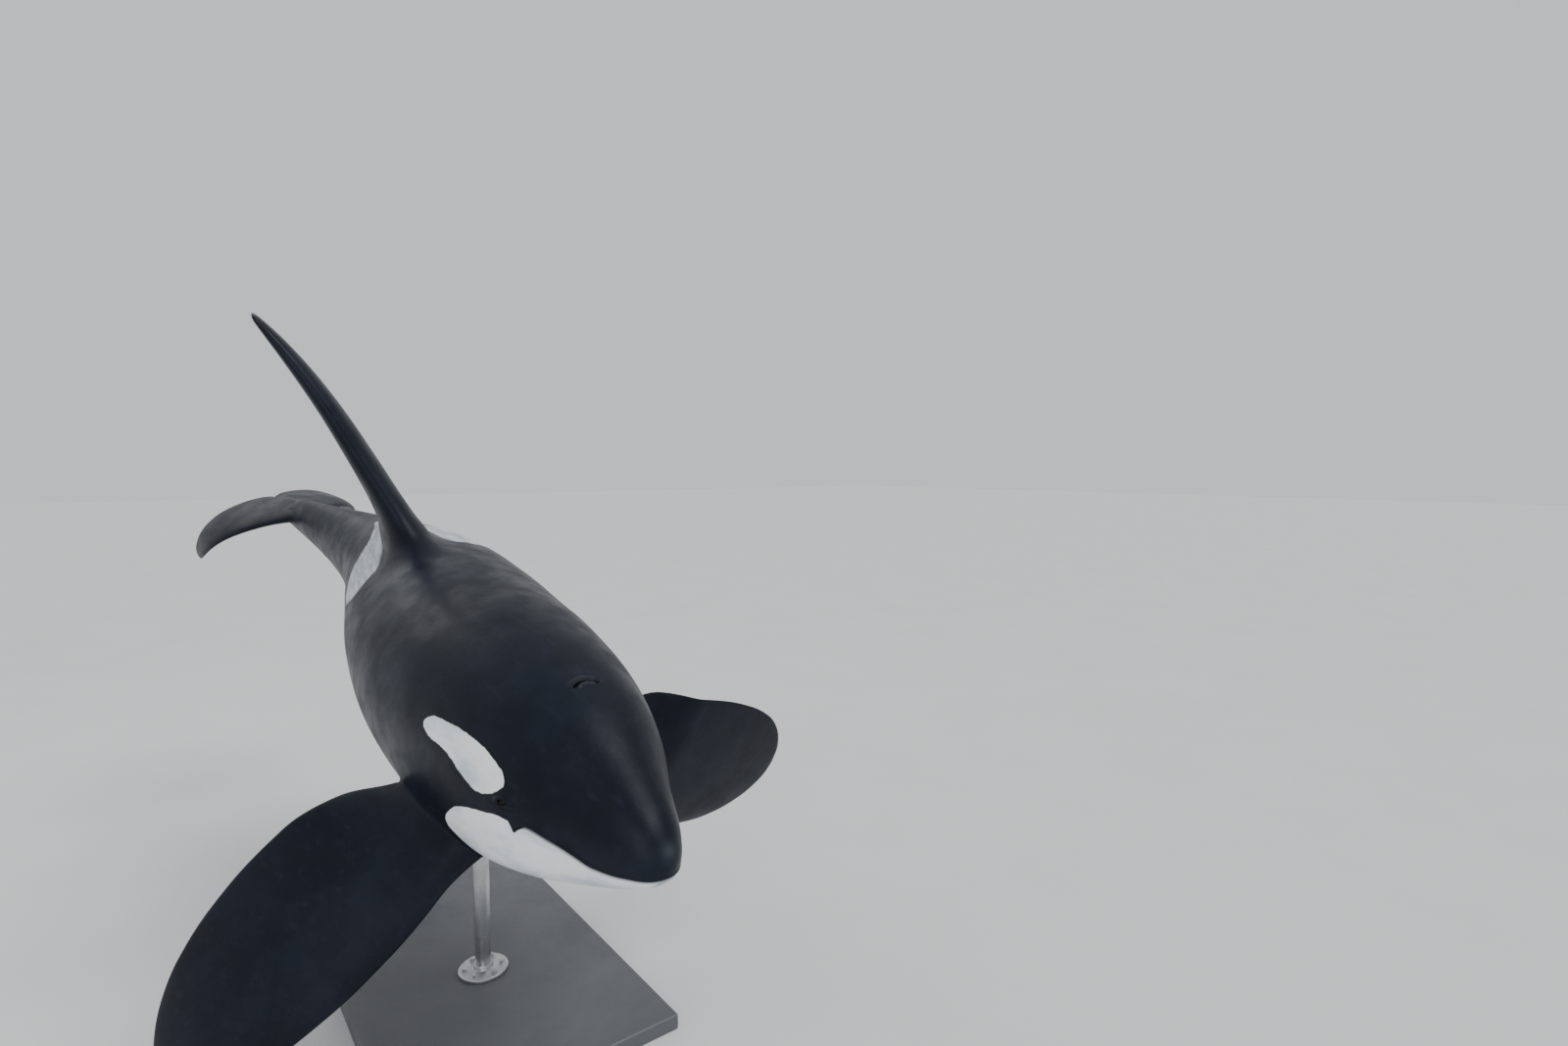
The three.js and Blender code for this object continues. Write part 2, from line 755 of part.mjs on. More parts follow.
function flange() {
  const bore = rodRadius + touchGap;
  return turned([
    [bore, 0],
    [flangeRadius, 0],
    [flangeRadius, flangeThickness - flangeEdge],
    [flangeRadius - flangeEdge, flangeThickness],
    [bore, flangeThickness],
    [bore, 0],
  ]);
}

// A flared cup round the rod's top, for the belly to rest in
function cup() {
  const bore = rodRadius + touchGap;
  return turned([
    [bore, 0],
    [cupNeckRadius, 0],
    [cupNeckRadius + 8, cupHeight * 0.35],
    [cupRadius, cupHeight],
    [cupRadius, cupHeight * 3],
    [bore, cupHeight * 3],
    [bore, 0],
  ]);
}

// Assembly

function piece(name, geometry, finish) {
  const mesh = new THREE.Mesh(geometry, new THREE.MeshStandardMaterial(finishes[finish]));
  mesh.name = name;
  return mesh;
}

function makeAnimal() {
  const animal = new THREE.Group();
  const [head, jaw] = headAndJaw();
  animal.add(piece('head', head, 'blackSkin'), piece('lower_jaw', jaw, 'whiteSkin'));
  const lengths = {
    chest: sharesBetween(neckCut, waistCut, chestRings),
    torso: sharesBetween(waistCut, loinCut, torsoRings),
    loin: sharesBetween(loinCut, stockCut, loinRings),
    tail_stock: sharesBetween(stockCut, trunkEnd, stockRings),
  };
  Object.entries(lengths).forEach(([name, shares]) => {
    animal.add(piece(name, trunkLength(shares), 'blackSkin'));
  });
  const trunk = toSolid(swollen(wholeTrunk(), trunkClearance));
  animal.add(piece('dorsal_fin', offTrunk(dorsalFin(), trunk), 'blackSkin'));
  Object.entries({ left: 1, right: -1 }).forEach(([name, side]) => {
    animal.add(piece(`eye_${name}`, eyeball(side, eyeRadius), 'eye'));
    animal.add(piece(`flipper_${name}`, offTrunk(flipper(side, flipperPoses[name]), trunk), 'blackSkin'));
    animal.add(piece(`fluke_${name}`, offTrunk(fluke(side), trunk), 'blackSkin'));
  });
  return animal;
}

// The trunk's middle at a share of the length, on the stand
function trunkMiddle(share, attitude) {
  return bent(new THREE.Vector3(-share * bodyLength, 0, 0)).applyMatrix4(attitude);
}

function makeStand(attitude) {
  const stand = new THREE.Group();
  const trunk = toSolid(swollen(wholeTrunk(), trunkClearance).applyMatrix4(attitude));
  stand.add(piece('stand_base', standBase(), 'base'));
  const foot = baseThickness + touchGap;
  Object.entries({ front: 0, rear: 1 }).forEach(([name, i]) => {
    const middle = trunkMiddle(rodShares[i], attitude);
    const onFloor = (geometry, height) => geometry.translate(middle.x, middle.y, height);
    const cutRod = toSolid(onFloor(rod(middle.z - foot), foot)).subtract(trunk);
    const rodGeometry = toGeometry(largestPiece(cutRod));
    rodGeometry.computeBoundingBox();
    const cupFoot = rodGeometry.boundingBox.max.z - cupHeight - cupSink;
    const cutCup = toSolid(onFloor(cup(), cupFoot)).subtract(trunk);
    stand.add(
      piece(`stand_rod_${name}`, rodGeometry, 'steel'),
      piece(`stand_flange_${name}`, onFloor(flange(), foot), 'steel'),
      piece(`stand_cup_${name}`, toGeometry(largestPiece(cutCup)), 'steel'),
    );
  });
  return stand;
}

function makeOrca() {
  const orca = new THREE.Group();
  const animal = makeAnimal();
  const angles = new THREE.Euler(degToRad(bankDegrees), degToRad(noseDownDegrees), 0, 'ZYX');
  animal.rotation.copy(angles);
  const chest = new THREE.Vector3(-chestShare * bodyLength, 0, 0).applyEuler(angles);
  animal.position.set(chestAhead, chestLeft, chestHeight).sub(chest);
  animal.updateMatrix();
  orca.add(animal, makeStand(animal.matrix));
  return orca;
}

export default makeOrca();
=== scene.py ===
import json
from bisect import bisect_right
from math import atan2, cos, exp, hypot, pi, radians, sin, sqrt

import bmesh
import bpy
from mathutils import Euler, Matrix, Vector
from mathutils.bvhtree import BVHTree

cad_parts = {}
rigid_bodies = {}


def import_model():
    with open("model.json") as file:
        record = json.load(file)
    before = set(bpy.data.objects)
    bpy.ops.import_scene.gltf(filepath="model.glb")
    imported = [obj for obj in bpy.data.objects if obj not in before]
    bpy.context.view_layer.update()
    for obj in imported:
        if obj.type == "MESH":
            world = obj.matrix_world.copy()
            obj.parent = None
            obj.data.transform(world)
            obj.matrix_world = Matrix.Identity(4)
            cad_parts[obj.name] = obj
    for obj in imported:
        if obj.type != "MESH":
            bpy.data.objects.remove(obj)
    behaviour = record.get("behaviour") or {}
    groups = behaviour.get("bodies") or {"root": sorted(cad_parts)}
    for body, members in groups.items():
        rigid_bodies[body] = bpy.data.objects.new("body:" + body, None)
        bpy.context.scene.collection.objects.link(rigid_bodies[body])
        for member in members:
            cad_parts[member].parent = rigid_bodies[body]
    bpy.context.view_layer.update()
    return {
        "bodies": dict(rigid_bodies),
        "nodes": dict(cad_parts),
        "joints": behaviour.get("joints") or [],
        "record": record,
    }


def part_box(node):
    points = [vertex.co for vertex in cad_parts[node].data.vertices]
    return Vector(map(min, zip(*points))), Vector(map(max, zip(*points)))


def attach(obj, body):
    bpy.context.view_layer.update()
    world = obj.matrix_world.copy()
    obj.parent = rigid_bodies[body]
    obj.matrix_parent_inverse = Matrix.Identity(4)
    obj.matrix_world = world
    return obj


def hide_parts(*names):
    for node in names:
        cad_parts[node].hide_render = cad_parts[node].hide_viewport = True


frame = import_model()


# Small helpers

def clamp(x, low=0.0, high=1.0):
    return min(max(x, low), high)


def mix(a, b, t):
    return a + (b - a) * t


def smooth(x, start, end):
    t = clamp((x - start) / (end - start))
    return t * t * (3 - 2 * t)


def bump(x, width):  # 1 at x = 0, falling away over the width
    return exp(-(x / width) ** 2)


def signedPower(x, power):
    return abs(x) ** power * (1 if x >= 0 else -1)


def monotone(xs, ys):
    steps = [b - a for a, b in zip(xs, xs[1:])]
    slopes = [(b - a) / h for a, b, h in zip(ys, ys[1:], steps)]
    tangents = [slopes[0]]
    for i in range(1, len(slopes)):
        if slopes[i - 1] * slopes[i] <= 0:
            tangents.append(0.0)
            continue
        before = 2 * steps[i] + steps[i - 1]
        after = steps[i] + 2 * steps[i - 1]
        tangents.append((before + after) / (before / slopes[i - 1] + after / slopes[i]))
    tangents.append(slopes[-1])

    def value(x):
        i = min(max(bisect_right(xs, x) - 1, 0), len(steps) - 1)
        t = clamp((x - xs[i]) / steps[i])
        rise = ys[i + 1] - ys[i]
        start, end = tangents[i] * steps[i], tangents[i + 1] * steps[i]
        return ys[i] + t * (start + t * (3 * rise - 2 * start - end + t * (start + end - 2 * rise)))
    return value


def curveThrough(rows, warp=lambda x: x):
    xs = [warp(row[0]) for row in rows]
    columns = [monotone(xs, [row[k] for row in rows]) for k in range(1, len(rows[0]))]
    return lambda x: [column(warp(x)) for column in columns]


# The body: shaped straight, snout at X = 0, left side +Y, back +Z

body = {
    "length": 6.8,  # snout to the notch of the flukes
    "stations": [  # share behind the snout, top, underside, half width, widest level, fullness
        (0.0, -0.0055, -0.0065, 0.0005, -0.006, 2.0),
        (0.006, 0.009, -0.0195, 0.014, -0.007, 2.1),
        (0.02, 0.0225, -0.028, 0.023, -0.008, 2.15),
        (0.052, 0.042, -0.0435, 0.037, -0.01, 2.15),
        (0.096, 0.067, -0.061, 0.058, -0.01, 2.2),
        (0.13, 0.079, -0.0725, 0.069, -0.008, 2.2),
        (0.185, 0.091, -0.0865, 0.08, -0.004, 2.15),
        (0.255, 0.0965, -0.0975, 0.089, 0.0, 2.1),
        (0.343, 0.096, -0.1035, 0.0945, 0.0, 2.0),
        (0.431, 0.089, -0.1025, 0.0905, 0.0, 2.0),
        (0.529, 0.077, -0.091, 0.0765, 0.0, 2.0),
        (0.627, 0.062, -0.071, 0.0545, 0.0, 1.9),
        (0.725, 0.049, -0.052, 0.036, 0.0, 1.8),
        (0.824, 0.036, -0.034, 0.021, 0.002, 1.7),
        (0.902, 0.0255, -0.021, 0.013, 0.003, 1.7),
        (0.951, 0.017, -0.011, 0.01, 0.003, 1.8),
        (0.985, 0.009, -0.005, 0.006, 0.002, 2.0),
    ],
    "yaw": [(-6.1, 0.1, 0.46), (17.6, 0.43, 0.78), (-3.4, 0.72, 1.0)],
    "pitch": [(4.6, 0.1, 0.46), (-4.2, 0.72, 1.0), (4.2, 0.88, 0.98)],
    "twist": [(23.9, 0.14, 0.43), (-9, 0.6, 0.95)],
    "spineStep": 0.02,
    "spineEnds": (-0.1, 1.15),  # the spine runs on past the snout and the flukes
    "solidTo": 0.9899,  # share where the trunk ends
    "chestShare": 0.264,
    "chestPlace": (0.82, 0.0, 1.9),  # above the floor
    "noseDown": 10.2,
    "bank": 6.1,
}
length = body["length"]
trunkShape = curveThrough(body["stations"], lambda x: sqrt(max(x, 0.0)))


def trunkPoint(share, angle):
    top, under, half, level, fullness = trunkShape(share)
    across, up = cos(angle), sin(angle)
    reach = top - level if up >= 0 else level - under
    y = half * signedPower(across, 2 / fullness)
    z = level + reach * signedPower(up, 2 / fullness)
    return Vector((-share, y, z)) * length


def inSection(point):  # across and up as shares of the trunk's size there, and its fullness
    top, under, half, level, fullness = trunkShape(-point.x / length)
    y, z = point.y / length / half, point.z / length - level
    return y, z / (top - level if z >= 0 else level - under), fullness


def roundAngle(point):  # the angle round the trunk, from the left side over the back
    y, z, fullness = inSection(point)
    return atan2(signedPower(z, fullness / 2), signedPower(y, fullness / 2))


def insideTrunk(point):
    if not 0 < -point.x / length < body["solidTo"]:
        return False
    y, z, fullness = inSection(point)
    return abs(y) ** fullness + abs(z) ** fullness < 1


def makeSpine():
    step = body["spineStep"]

    def turn(share):
        angles = []
        for bends in (body["twist"], body["pitch"], body["yaw"]):
            here = sum(d * smooth(share, a, b) for d, a, b in bends)
            chest = sum(d * smooth(body["chestShare"], a, b) for d, a, b in bends)
            angles.append(radians(here - chest))
        return Euler(angles, "XYZ").to_matrix()

    first, last = [round(share * length / step) for share in body["spineEnds"]]
    chest = round(body["chestShare"] * length / step)
    place, spine = Vector(), []
    for i in range(first, last + 1):
        matrix = turn(i * step / length)
        place = place + matrix @ Vector((-step, 0, 0))
        spine.append((place, matrix))
    offset = Vector((-chest * step, 0, 0)) - spine[chest - first][0]
    return first, [(place + offset, matrix) for place, matrix in spine]


firstStation, spine = makeSpine()
attitude = Euler((radians(body["bank"]), radians(body["noseDown"]), 0), "XYZ").to_matrix()
chest = Vector((-body["chestShare"] * length, 0, 0))


def posed(point):  # from the straight animal to its place on the stand
    along = -point.x / body["spineStep"] - firstStation
    i = min(max(int(along), 0), len(spine) - 2)
    offset = Vector((0, point.y, point.z))
    here, nextOne = [place + matrix @ offset for place, matrix in (spine[i], spine[i + 1])]
    return attitude @ (here.lerp(nextOne, along - i) - chest) + Vector(body["chestPlace"])


# Camera first

view = {
    "fromChest": (4.6155, -1.5898, 1.3456),
    "azimuth": 141.64,  # the way it looks, from +X towards +Y
    "down": 4.0,
    "lens": 18.884,
    "sensor": 36,
}


def makeCamera():
    data = bpy.data.cameras.new("camera")
    data.lens, data.sensor_width = view["lens"], view["sensor"]
    data.clip_end = 200
    camera = bpy.data.objects.new("camera", data)
    bpy.context.scene.collection.objects.link(camera)
    camera.location = Vector(body["chestPlace"]) + Vector(view["fromChest"])
    camera.rotation_euler = (radians(90 - view["down"]), 0, radians(view["azimuth"] - 90))
    bpy.context.scene.camera = camera


makeCamera()
print("camera placed")


# Mesh helpers

def newObject(name, bm, materials=()):
    mesh = bpy.data.meshes.new(name)
    bm.to_mesh(mesh)
    bm.free()
    mesh.shade_smooth()
    thing = bpy.data.objects.new(name, mesh)
    bpy.context.scene.collection.objects.link(thing)
    for material in materials:
        mesh.materials.append(material)
    return thing


def easeOnce(bm, verts):
    bmesh.ops.smooth_vert(bm, verts=verts, factor=0.5, use_axis_x=True, use_axis_y=True, use_axis_z=True)


def wrapGrid(rings):  # a grid laid along the rings, its seam and ends joined
    columns = len(rings[0]) - 1
    bm = bmesh.new()
    bmesh.ops.create_grid(bm, x_segments=columns, y_segments=len(rings) - 1, size=1)
    bm.verts.ensure_lookup_table()
    for vert, point in zip(bm.verts, [p for ring in rings for p in ring]):
        vert.co = point
    bmesh.ops.remove_doubles(bm, verts=bm.verts, dist=1e-6)
    bmesh.ops.recalc_face_normals(bm, faces=bm.faces)
    return bm


# The trunk's skin

skin = {
    "lowerColumns": 30,  # half the columns below the mouth line
    "upperColumns": 50,
    "lipSteps": [0, 0.0022, 0.0045, 0.0072, 0.011, 0.016, 0.023, 0.032],
    "ringSteps": [(0.0, 0.0012), (0.004, 0.004), (0.02, 0.009), (0.05, 0.012), (0.13, 0.0135),
                  (0.19, 0.028), (0.78, 0.034), (0.87, 0.019), (1.0, 0.012)],
    "plainGrid": (150, 181),  # rings and columns of the plain snout that the rays meet
    "plainShare": 0.1,
    "loopPoints": 150,
    "firstRing": 0.0002,
    "poleTilt": 0.85,
    "levelShare": 0.06,  # rings stand upright behind this
    "evenShare": 0.17,  # columns are evenly spread behind this
    "endShare": 0.989,
}
mouth = {
    "line": [  # share behind the snout, height as a share of the length
        (0.0, -0.0135), (0.01, -0.0142), (0.024, -0.016), (0.036, -0.0164), (0.05, -0.0136),
        (0.067, -0.0098), (0.084, -0.0068), (0.0905, -0.01),
        (0.13, -0.015), (0.2, -0.013), (0.4, 0.0), (1.0, 0.002),
    ],
    "corner": 0.0905,
    "cornerFade": (-0.006, 0.004),
    "grooveDepth": 0.013,
    "grooveWidth": 0.0042,
    "lipHeight": 0.0045,
    "lipFromLine": 0.012,
    "lipWidth": 0.009,
}
mouthCurve = curveThrough(mouth["line"])


def mouthHeight(share):
    return mouthCurve(share)[0] * length


def ringShares(start):
    stepAt = curveThrough(skin["ringSteps"])
    shares = [start + skin["firstRing"]]
    while shares[-1] < skin["endShare"]:
        shares.append(shares[-1] + stepAt(shares[-1])[0] / length)
    shares[-1] = skin["endShare"]
    return shares


def referenceTree():  # the plain trunk, for rays
    ringCount, count = skin["plainGrid"]
    rings = [[Vector((0, 0, 0))] * count]
    for i in range(ringCount):
        share = skin["plainShare"] * (i / (ringCount - 1)) ** 2 + 1e-5
        rings.append([trunkPoint(share, 2 * pi * j / (count - 1)) for j in range(count)])
    bm = wrapGrid(rings)
    tree = BVHTree.FromBMesh(bm)
    bm.free()
    return tree


def halfLoop(share, tree, start):  # points round the left half, belly to back
    count = skin["loopPoints"]
    angles = [pi * k / (count - 1) - pi / 2 for k in range(count)]
    if share >= skin["levelShare"]:
        return [trunkPoint(share, angle) for angle in angles]
    fade = 1 - smooth(share, start, skin["levelShare"])
    tilt = skin["poleTilt"] * fade
    reference = mouthHeight(0)
    level = trunkShape(share)[3] * length
    z = mix(level, reference, fade)
    origin = Vector((-share * length + tilt * (z - reference), 0, z))
    upAxis = Vector((tilt, 0, 1)).normalized()
    points = []
    nearlyUp = 1.5705  # rays stay just clear of the middle plane
    for angle in angles:
        angle = clamp(angle, -nearlyUp, nearlyUp)
        way = Vector((0, cos(angle), 0)) + upAxis * sin(angle)
        points.append(tree.ray_cast(origin, way)[0])
    for end in (0, -1):
        points[end].y = 0
    return points


def spreadOut(total, count, relax):  # distances from the mouth line, closer together near it
    steps = skin["lipSteps"]
    scale = min(1, total / (3 * steps[-1]))
    graded = [step * scale for step in steps]
    rest = count + 1 - len(graded)
    graded += [mix(graded[-1], total, (k + 1) / rest) for k in range(rest)]
    return [mix(g, total * k / count, relax) for k, g in enumerate(graded)]


def ringColumns(points, relax):
    lengths = [0.0]
    for a, b in zip(points, points[1:]):
        lengths.append(lengths[-1] + (b - a).length)
    seam = 0.5 * lengths[-1]
    for k in range(1, len(points)):
        over = [p.z - mouthHeight(-p.x / length) for p in (points[k - 1], points[k])]
        if over[0] < 0 <= over[1]:
            seam = mix(lengths[k - 1], lengths[k], over[0] / (over[0] - over[1]))
            break
    down = spreadOut(seam, skin["lowerColumns"], relax)
    up = spreadOut(lengths[-1] - seam, skin["upperColumns"], relax)
    places = [seam - d for d in reversed(down)] + [seam + d for d in up[1:]]
    half = []
    for place in places:
        k = min(max(bisect_right(lengths, place), 1), len(points) - 1)
        t = (place - lengths[k - 1]) / max(lengths[k] - lengths[k - 1], 1e-12)
        half.append(points[k - 1].lerp(points[k], t))
    mirrored = [Vector((p.x, -p.y, p.z)) for p in reversed(half[:-1])]
    return half + mirrored


def makeTrunk():
    tree = referenceTree()
    pole = tree.ray_cast(Vector((-0.1, 0, mouthHeight(0))), Vector((1, 0, 0)))[0]
    start = -pole.x / length
    rings = []
    for share in ringShares(start):
        relax = smooth(share, mouth["corner"], skin["evenShare"])
        rings.append(ringColumns(halfLoop(share, tree, start), relax))
    rings.insert(0, [pole] * len(rings[0]))
    bm = wrapGrid(rings)
    endEdges = [e for e in bm.edges if e.is_boundary]
    bmesh.ops.contextual_create(bm, geom=endEdges)
    bmesh.ops.recalc_face_normals(bm, faces=bm.faces)
    return bm


# Fins

blade = {  # what all the fins share
    "fullness": 0.45,
    "peak": 1.084,
    "rootShare": 0.12,
    "rootsBelow": 0.6,  # every fin leaves the trunk within this share of its span
    "footSteps": (0.05, 0.13, 0.25, 0.4, 0.6, 0.8, 1.0),  # shares of the flare
    "tipFrom": 0.93,
    "tipSteps": (0.945, 0.96, 0.973, 0.983, 0.991, 0.996, 1.0),  # shares of the span
    "easedRows": 8,  # rows of the trunk and of the fin that are smoothed at its foot
    "easedRings": 5,
    "easeRounds": 32,
}
dorsal = {
    "span": 1.605,
    "foot": 0.597,
    "lean": 3.2,
    "curl": 19,
    "curlPower": 1.5,
    "twist": -7,  # the upper part turns its right face forwards
    "twistFrom": (0.08, 0.5),
    "rows": [  # share of the height, front and rear edge behind the snout, thickness
        (-0.14, 2.51, 4.2, 0.38),
        (-0.08, 2.6, 4.08, 0.35), (0.0, 2.725, 3.965, 0.3), (0.047, 2.825, 3.865, 0.26),
        (0.104, 2.94, 3.785, 0.215), (0.19, 3.03, 3.75, 0.185), (0.333, 3.13, 3.745, 0.162),
        (0.523, 3.237, 3.745, 0.138), (0.714, 3.345, 3.745, 0.112), (0.857, 3.433, 3.737, 0.082),
        (0.943, 3.492, 3.717, 0.054), (0.986, 3.522, 3.7, 0.032), (1.0, 3.566, 3.672, 0.008),
    ],
    "flare": 0.1,
    "step": 0.028,
}
flippers = {
    "span": 1.66,
    "root": (-1.411, 0.421, -0.36),
    "rows": [  # share of the span, front and rear edge ahead of the axis, thickness
        (-0.1, 0.34, -0.25, 0.26), (0.0, 0.33, -0.28, 0.24), (0.08, 0.335, -0.355, 0.2),
        (0.2, 0.365, -0.49, 0.165), (0.35, 0.395, -0.55, 0.135), (0.5, 0.41, -0.56, 0.115),
        (0.65, 0.395, -0.54, 0.095), (0.8, 0.33, -0.475, 0.07), (0.9, 0.235, -0.375, 0.05),
        (0.96, 0.135, -0.265, 0.032), (0.99, 0.04, -0.17, 0.018), (1.0, -0.035, -0.09, 0.006),
    ],
    "poses": {  # sweep, drop, raise of the front edge, droop
        1: (11, 22, -97, 6),
        -1: (6.9, 37.8, -51, 5.7),
    },
    "rootRaise": 0.6,
    "raiseShare": 0.35,
    "flare": 0.04,
    "step": 0.03,
}
flukes = {
    "span": 0.96,
    "height": 0.067,
    "rise": -8,
    "curl": 98,
    "curlPower": 2.2,
    "rows": [  # share of the half span, front and rear edge as shares of the length, thickness
        (0.0, 0.852, 0.992, 0.155), (0.1, 0.864, 1.003, 0.128), (0.25, 0.886, 1.012, 0.098),
        (0.45, 0.913, 1.018, 0.078), (0.65, 0.945, 1.022, 0.059), (0.82, 0.976, 1.027, 0.044),
        (0.93, 1.002, 1.034, 0.028), (0.98, 1.018, 1.036, 0.015), (1.0, 1.028, 1.035, 0.005),
    ],
    "notchFrom": (0.86, 0.085),  # the middle is smoothed behind this share, this far to each side
    "notchRounds": 40,
    "flare": 0.04,
    "step": 0.023,
}


def makeContour(rows, placeAt):  # the point at an angle round the fin, at a share of its span
    shape = curveThrough(rows)

    def contour(share, angle, swell=0.0):
        front, rear, thickness = shape(share)
        frontPoint, rearPoint, ahead, normal = placeAt(share, front, rear)
        curve = sin(angle) * (1 + blade["fullness"] * cos(angle)) / 2 / blade["peak"]
        spread = ahead * (swell * cos(angle))
        middle = frontPoint.lerp(rearPoint, (1 - cos(angle)) / 2) + spread
        return middle + normal * (curve * (thickness + 2 * swell))
    return contour


def walkSpan(span, start, slopeAt):  # where a fin with a changing slope goes
    count = 400
    table = []
    for i in range(count + 1):
        share = mix(start, 1, i / count)
        table.append([share, 0.0, 0.0, slopeAt(share)])
    for a, b in zip(table, table[1:]):
        slope, step = slopeAt((a[0] + b[0]) / 2), (b[0] - a[0]) * span
        b[1], b[2] = a[1] + cos(slope) * step, a[2] + sin(slope) * step

    def between(share):
        place = clamp((share - start) / (1 - start)) * count
        i = min(int(place), count - 1)
        return [mix(a, b, place - i) for a, b in zip(table[i][1:], table[i + 1][1:])]
    firstAcross, firstRise, _ = between(0)

    def stop(share):
        across, rise, slope = between(share)
        return across - firstAcross, rise - firstRise, slope
    return stop


def dorsalFin():
    lean, curl = radians(dorsal["lean"]), radians(dorsal["curl"])
    slopeAt = lambda s: lean * clamp(s / blade["rootShare"]) + curl * clamp(s) ** dorsal["curlPower"]
    start = dorsal["rows"][0][0]
    stop = walkSpan(dorsal["span"], start, slopeAt)

    def placeAt(share, front, rear):
        across, rise, slope = stop(share)
        normal = Vector((0, cos(slope), sin(slope)))
        turn = radians(dorsal["twist"]) * smooth(share, *dorsal["twistFrom"])
        lift = normal * (sin(turn) * (rear - front) / 2)
        edges = [Vector((-x, -rise, dorsal["foot"] + across)) for x in (front, rear)]
        return edges[0] + lift, edges[1] - lift, Vector((1, 0, 0)), normal
    return makeContour(dorsal["rows"], placeAt), Vector((0, 0, 1)), start


def flipperFin(side):
    x, y, z = flippers["root"]
    root = Vector((x, side * y, z))
    sweep, drop, lift, droop = [radians(d) for d in flippers["poses"][side]]

    def outAt(angle):
        return Vector((-sin(sweep), side * cos(sweep) * cos(angle), -cos(sweep) * sin(angle)))

    def placeAt(share, front, rear):
        bend = droop * max(share, 0)
        out = outAt(drop + bend)
        middle = root + outAt(drop + bend / 2) * (share * flippers["span"])
        ahead = (Vector((1, 0, 0)) - out * out.x).normalized()
        turn = lift * mix(flippers["rootRaise"], 1, smooth(share, 0, flippers["raiseShare"]))
        ahead = Matrix.Rotation(-side * turn, 3, out) @ ahead
        return middle + ahead * front, middle + ahead * rear, ahead, ahead.cross(out)
    return makeContour(flippers["rows"], placeAt), outAt(drop), flippers["rows"][0][0]


def flukeFin(side):
    rise, curl = radians(flukes["rise"]), radians(flukes["curl"])
    slopeAt = lambda s: rise * smooth(s, 0, blade["rootShare"]) - curl * clamp(s) ** flukes["curlPower"]
    stop = walkSpan(flukes["span"], 0, slopeAt)

    def placeAt(share, front, rear):
        across, lift, slope = stop(share)
        edges = [Vector((-s * length, side * across, flukes["height"] + lift)) for s in (front, rear)]
        return *edges, Vector((1, 0, 0)), Vector((0, -side * sin(slope), cos(slope)))
    return makeContour(flukes["rows"], placeAt), Vector((0, side, 0)), 0.0


def planeAxes(out):
    first = out.orthogonal().normalized()
    return first, out.cross(first)


def insidePolygon(polygon, x, y):
    inside = False
    for (ax, ay), (bx, by) in zip(polygon, polygon[1:] + polygon[:1]):
        if (ay > y) != (by > y) and x < ax + (y - ay) * (bx - ax) / (by - ay):
            inside = not inside
    return inside


def filletSwell(distance, radius):  # how far the fin's foot spreads, rounding into the body
    if distance >= radius:
        return 0.0
    return radius - sqrt(radius * radius - (radius - distance) ** 2)


def findRoots(tree, fin, flare, count=120):  # where the fin comes out of the trunk, all round
    contour, _, start = fin

    def rootPoint(angle):
        low, high = start, blade["rootsBelow"]
        if not insideTrunk(contour(low, angle, flare)):
            return start, tree.find_nearest(contour(start, angle, flare))[0]
        for _ in range(22):
            middle = (low + high) / 2
            if insideTrunk(contour(middle, angle, flare)):
                low = middle
            else:
                high = middle
        return high, contour(high, angle, flare)
    return rootPoint, [rootPoint(2 * pi * k / count)[1] for k in range(count)]


def cutHole(bm, points, out):  # takes the trunk's faces under a fin away, and walks round the hole
    kind = bm.verts.layers.int["part"]
    axes = planeAxes(out)
    polygon = [(p.dot(axes[0]), p.dot(axes[1])) for p in points]
    middle = sum(points, Vector()) / len(points)
    reach = max((p - middle).length for p in points) * 1.1

    def within(face):
        centre = face.calc_center_median()
        if (centre - middle).length > reach or face.normal.dot(out) < 0.02:
            return False
        if any(vert[kind] for vert in face.verts):
            return False
        return insidePolygon(polygon, centre.dot(axes[0]), centre.dot(axes[1]))
    bmesh.ops.delete(bm, geom=[f for f in bm.faces if within(f)], context="FACES")
    edges = [e for e in bm.edges if e.is_boundary]
    loop, edge = [edges[0].verts[0]], edges[0]
    while edge.other_vert(loop[-1]) is not loop[0]:
        vert = edge.other_vert(loop[-1])
        loop.append(vert)
        edge = [e for e in vert.link_edges if e.is_boundary and e is not edge][0]
    return loop, edges


def evenAngles(loop, points):  # each vertex's angle round the fin's foot, eased apart
    count = len(points)
    nearest = [min(range(count), key=lambda i: (points[i] - v.co).length_squared) for v in loop]
    angles = [2 * pi * k / count for k in nearest]
    turns = [(b - a + pi) % (2 * pi) - pi for a, b in zip(angles, angles[1:] + angles[:1])]
    way = 1 if sum(turns) > 0 else -1
    offsets = [0.0]
    for turn in turns[:-1]:
        offsets.append(offsets[-1] + turn * way)
    for _ in range(80):
        ends = [offsets[-1] - 2 * pi] + offsets + [offsets[0] + 2 * pi]
        offsets = [mix(o, (ends[i] + ends[i + 2]) / 2, 0.5) for i, o in enumerate(offsets)]
    return [angles[0] + way * o for o in offsets]


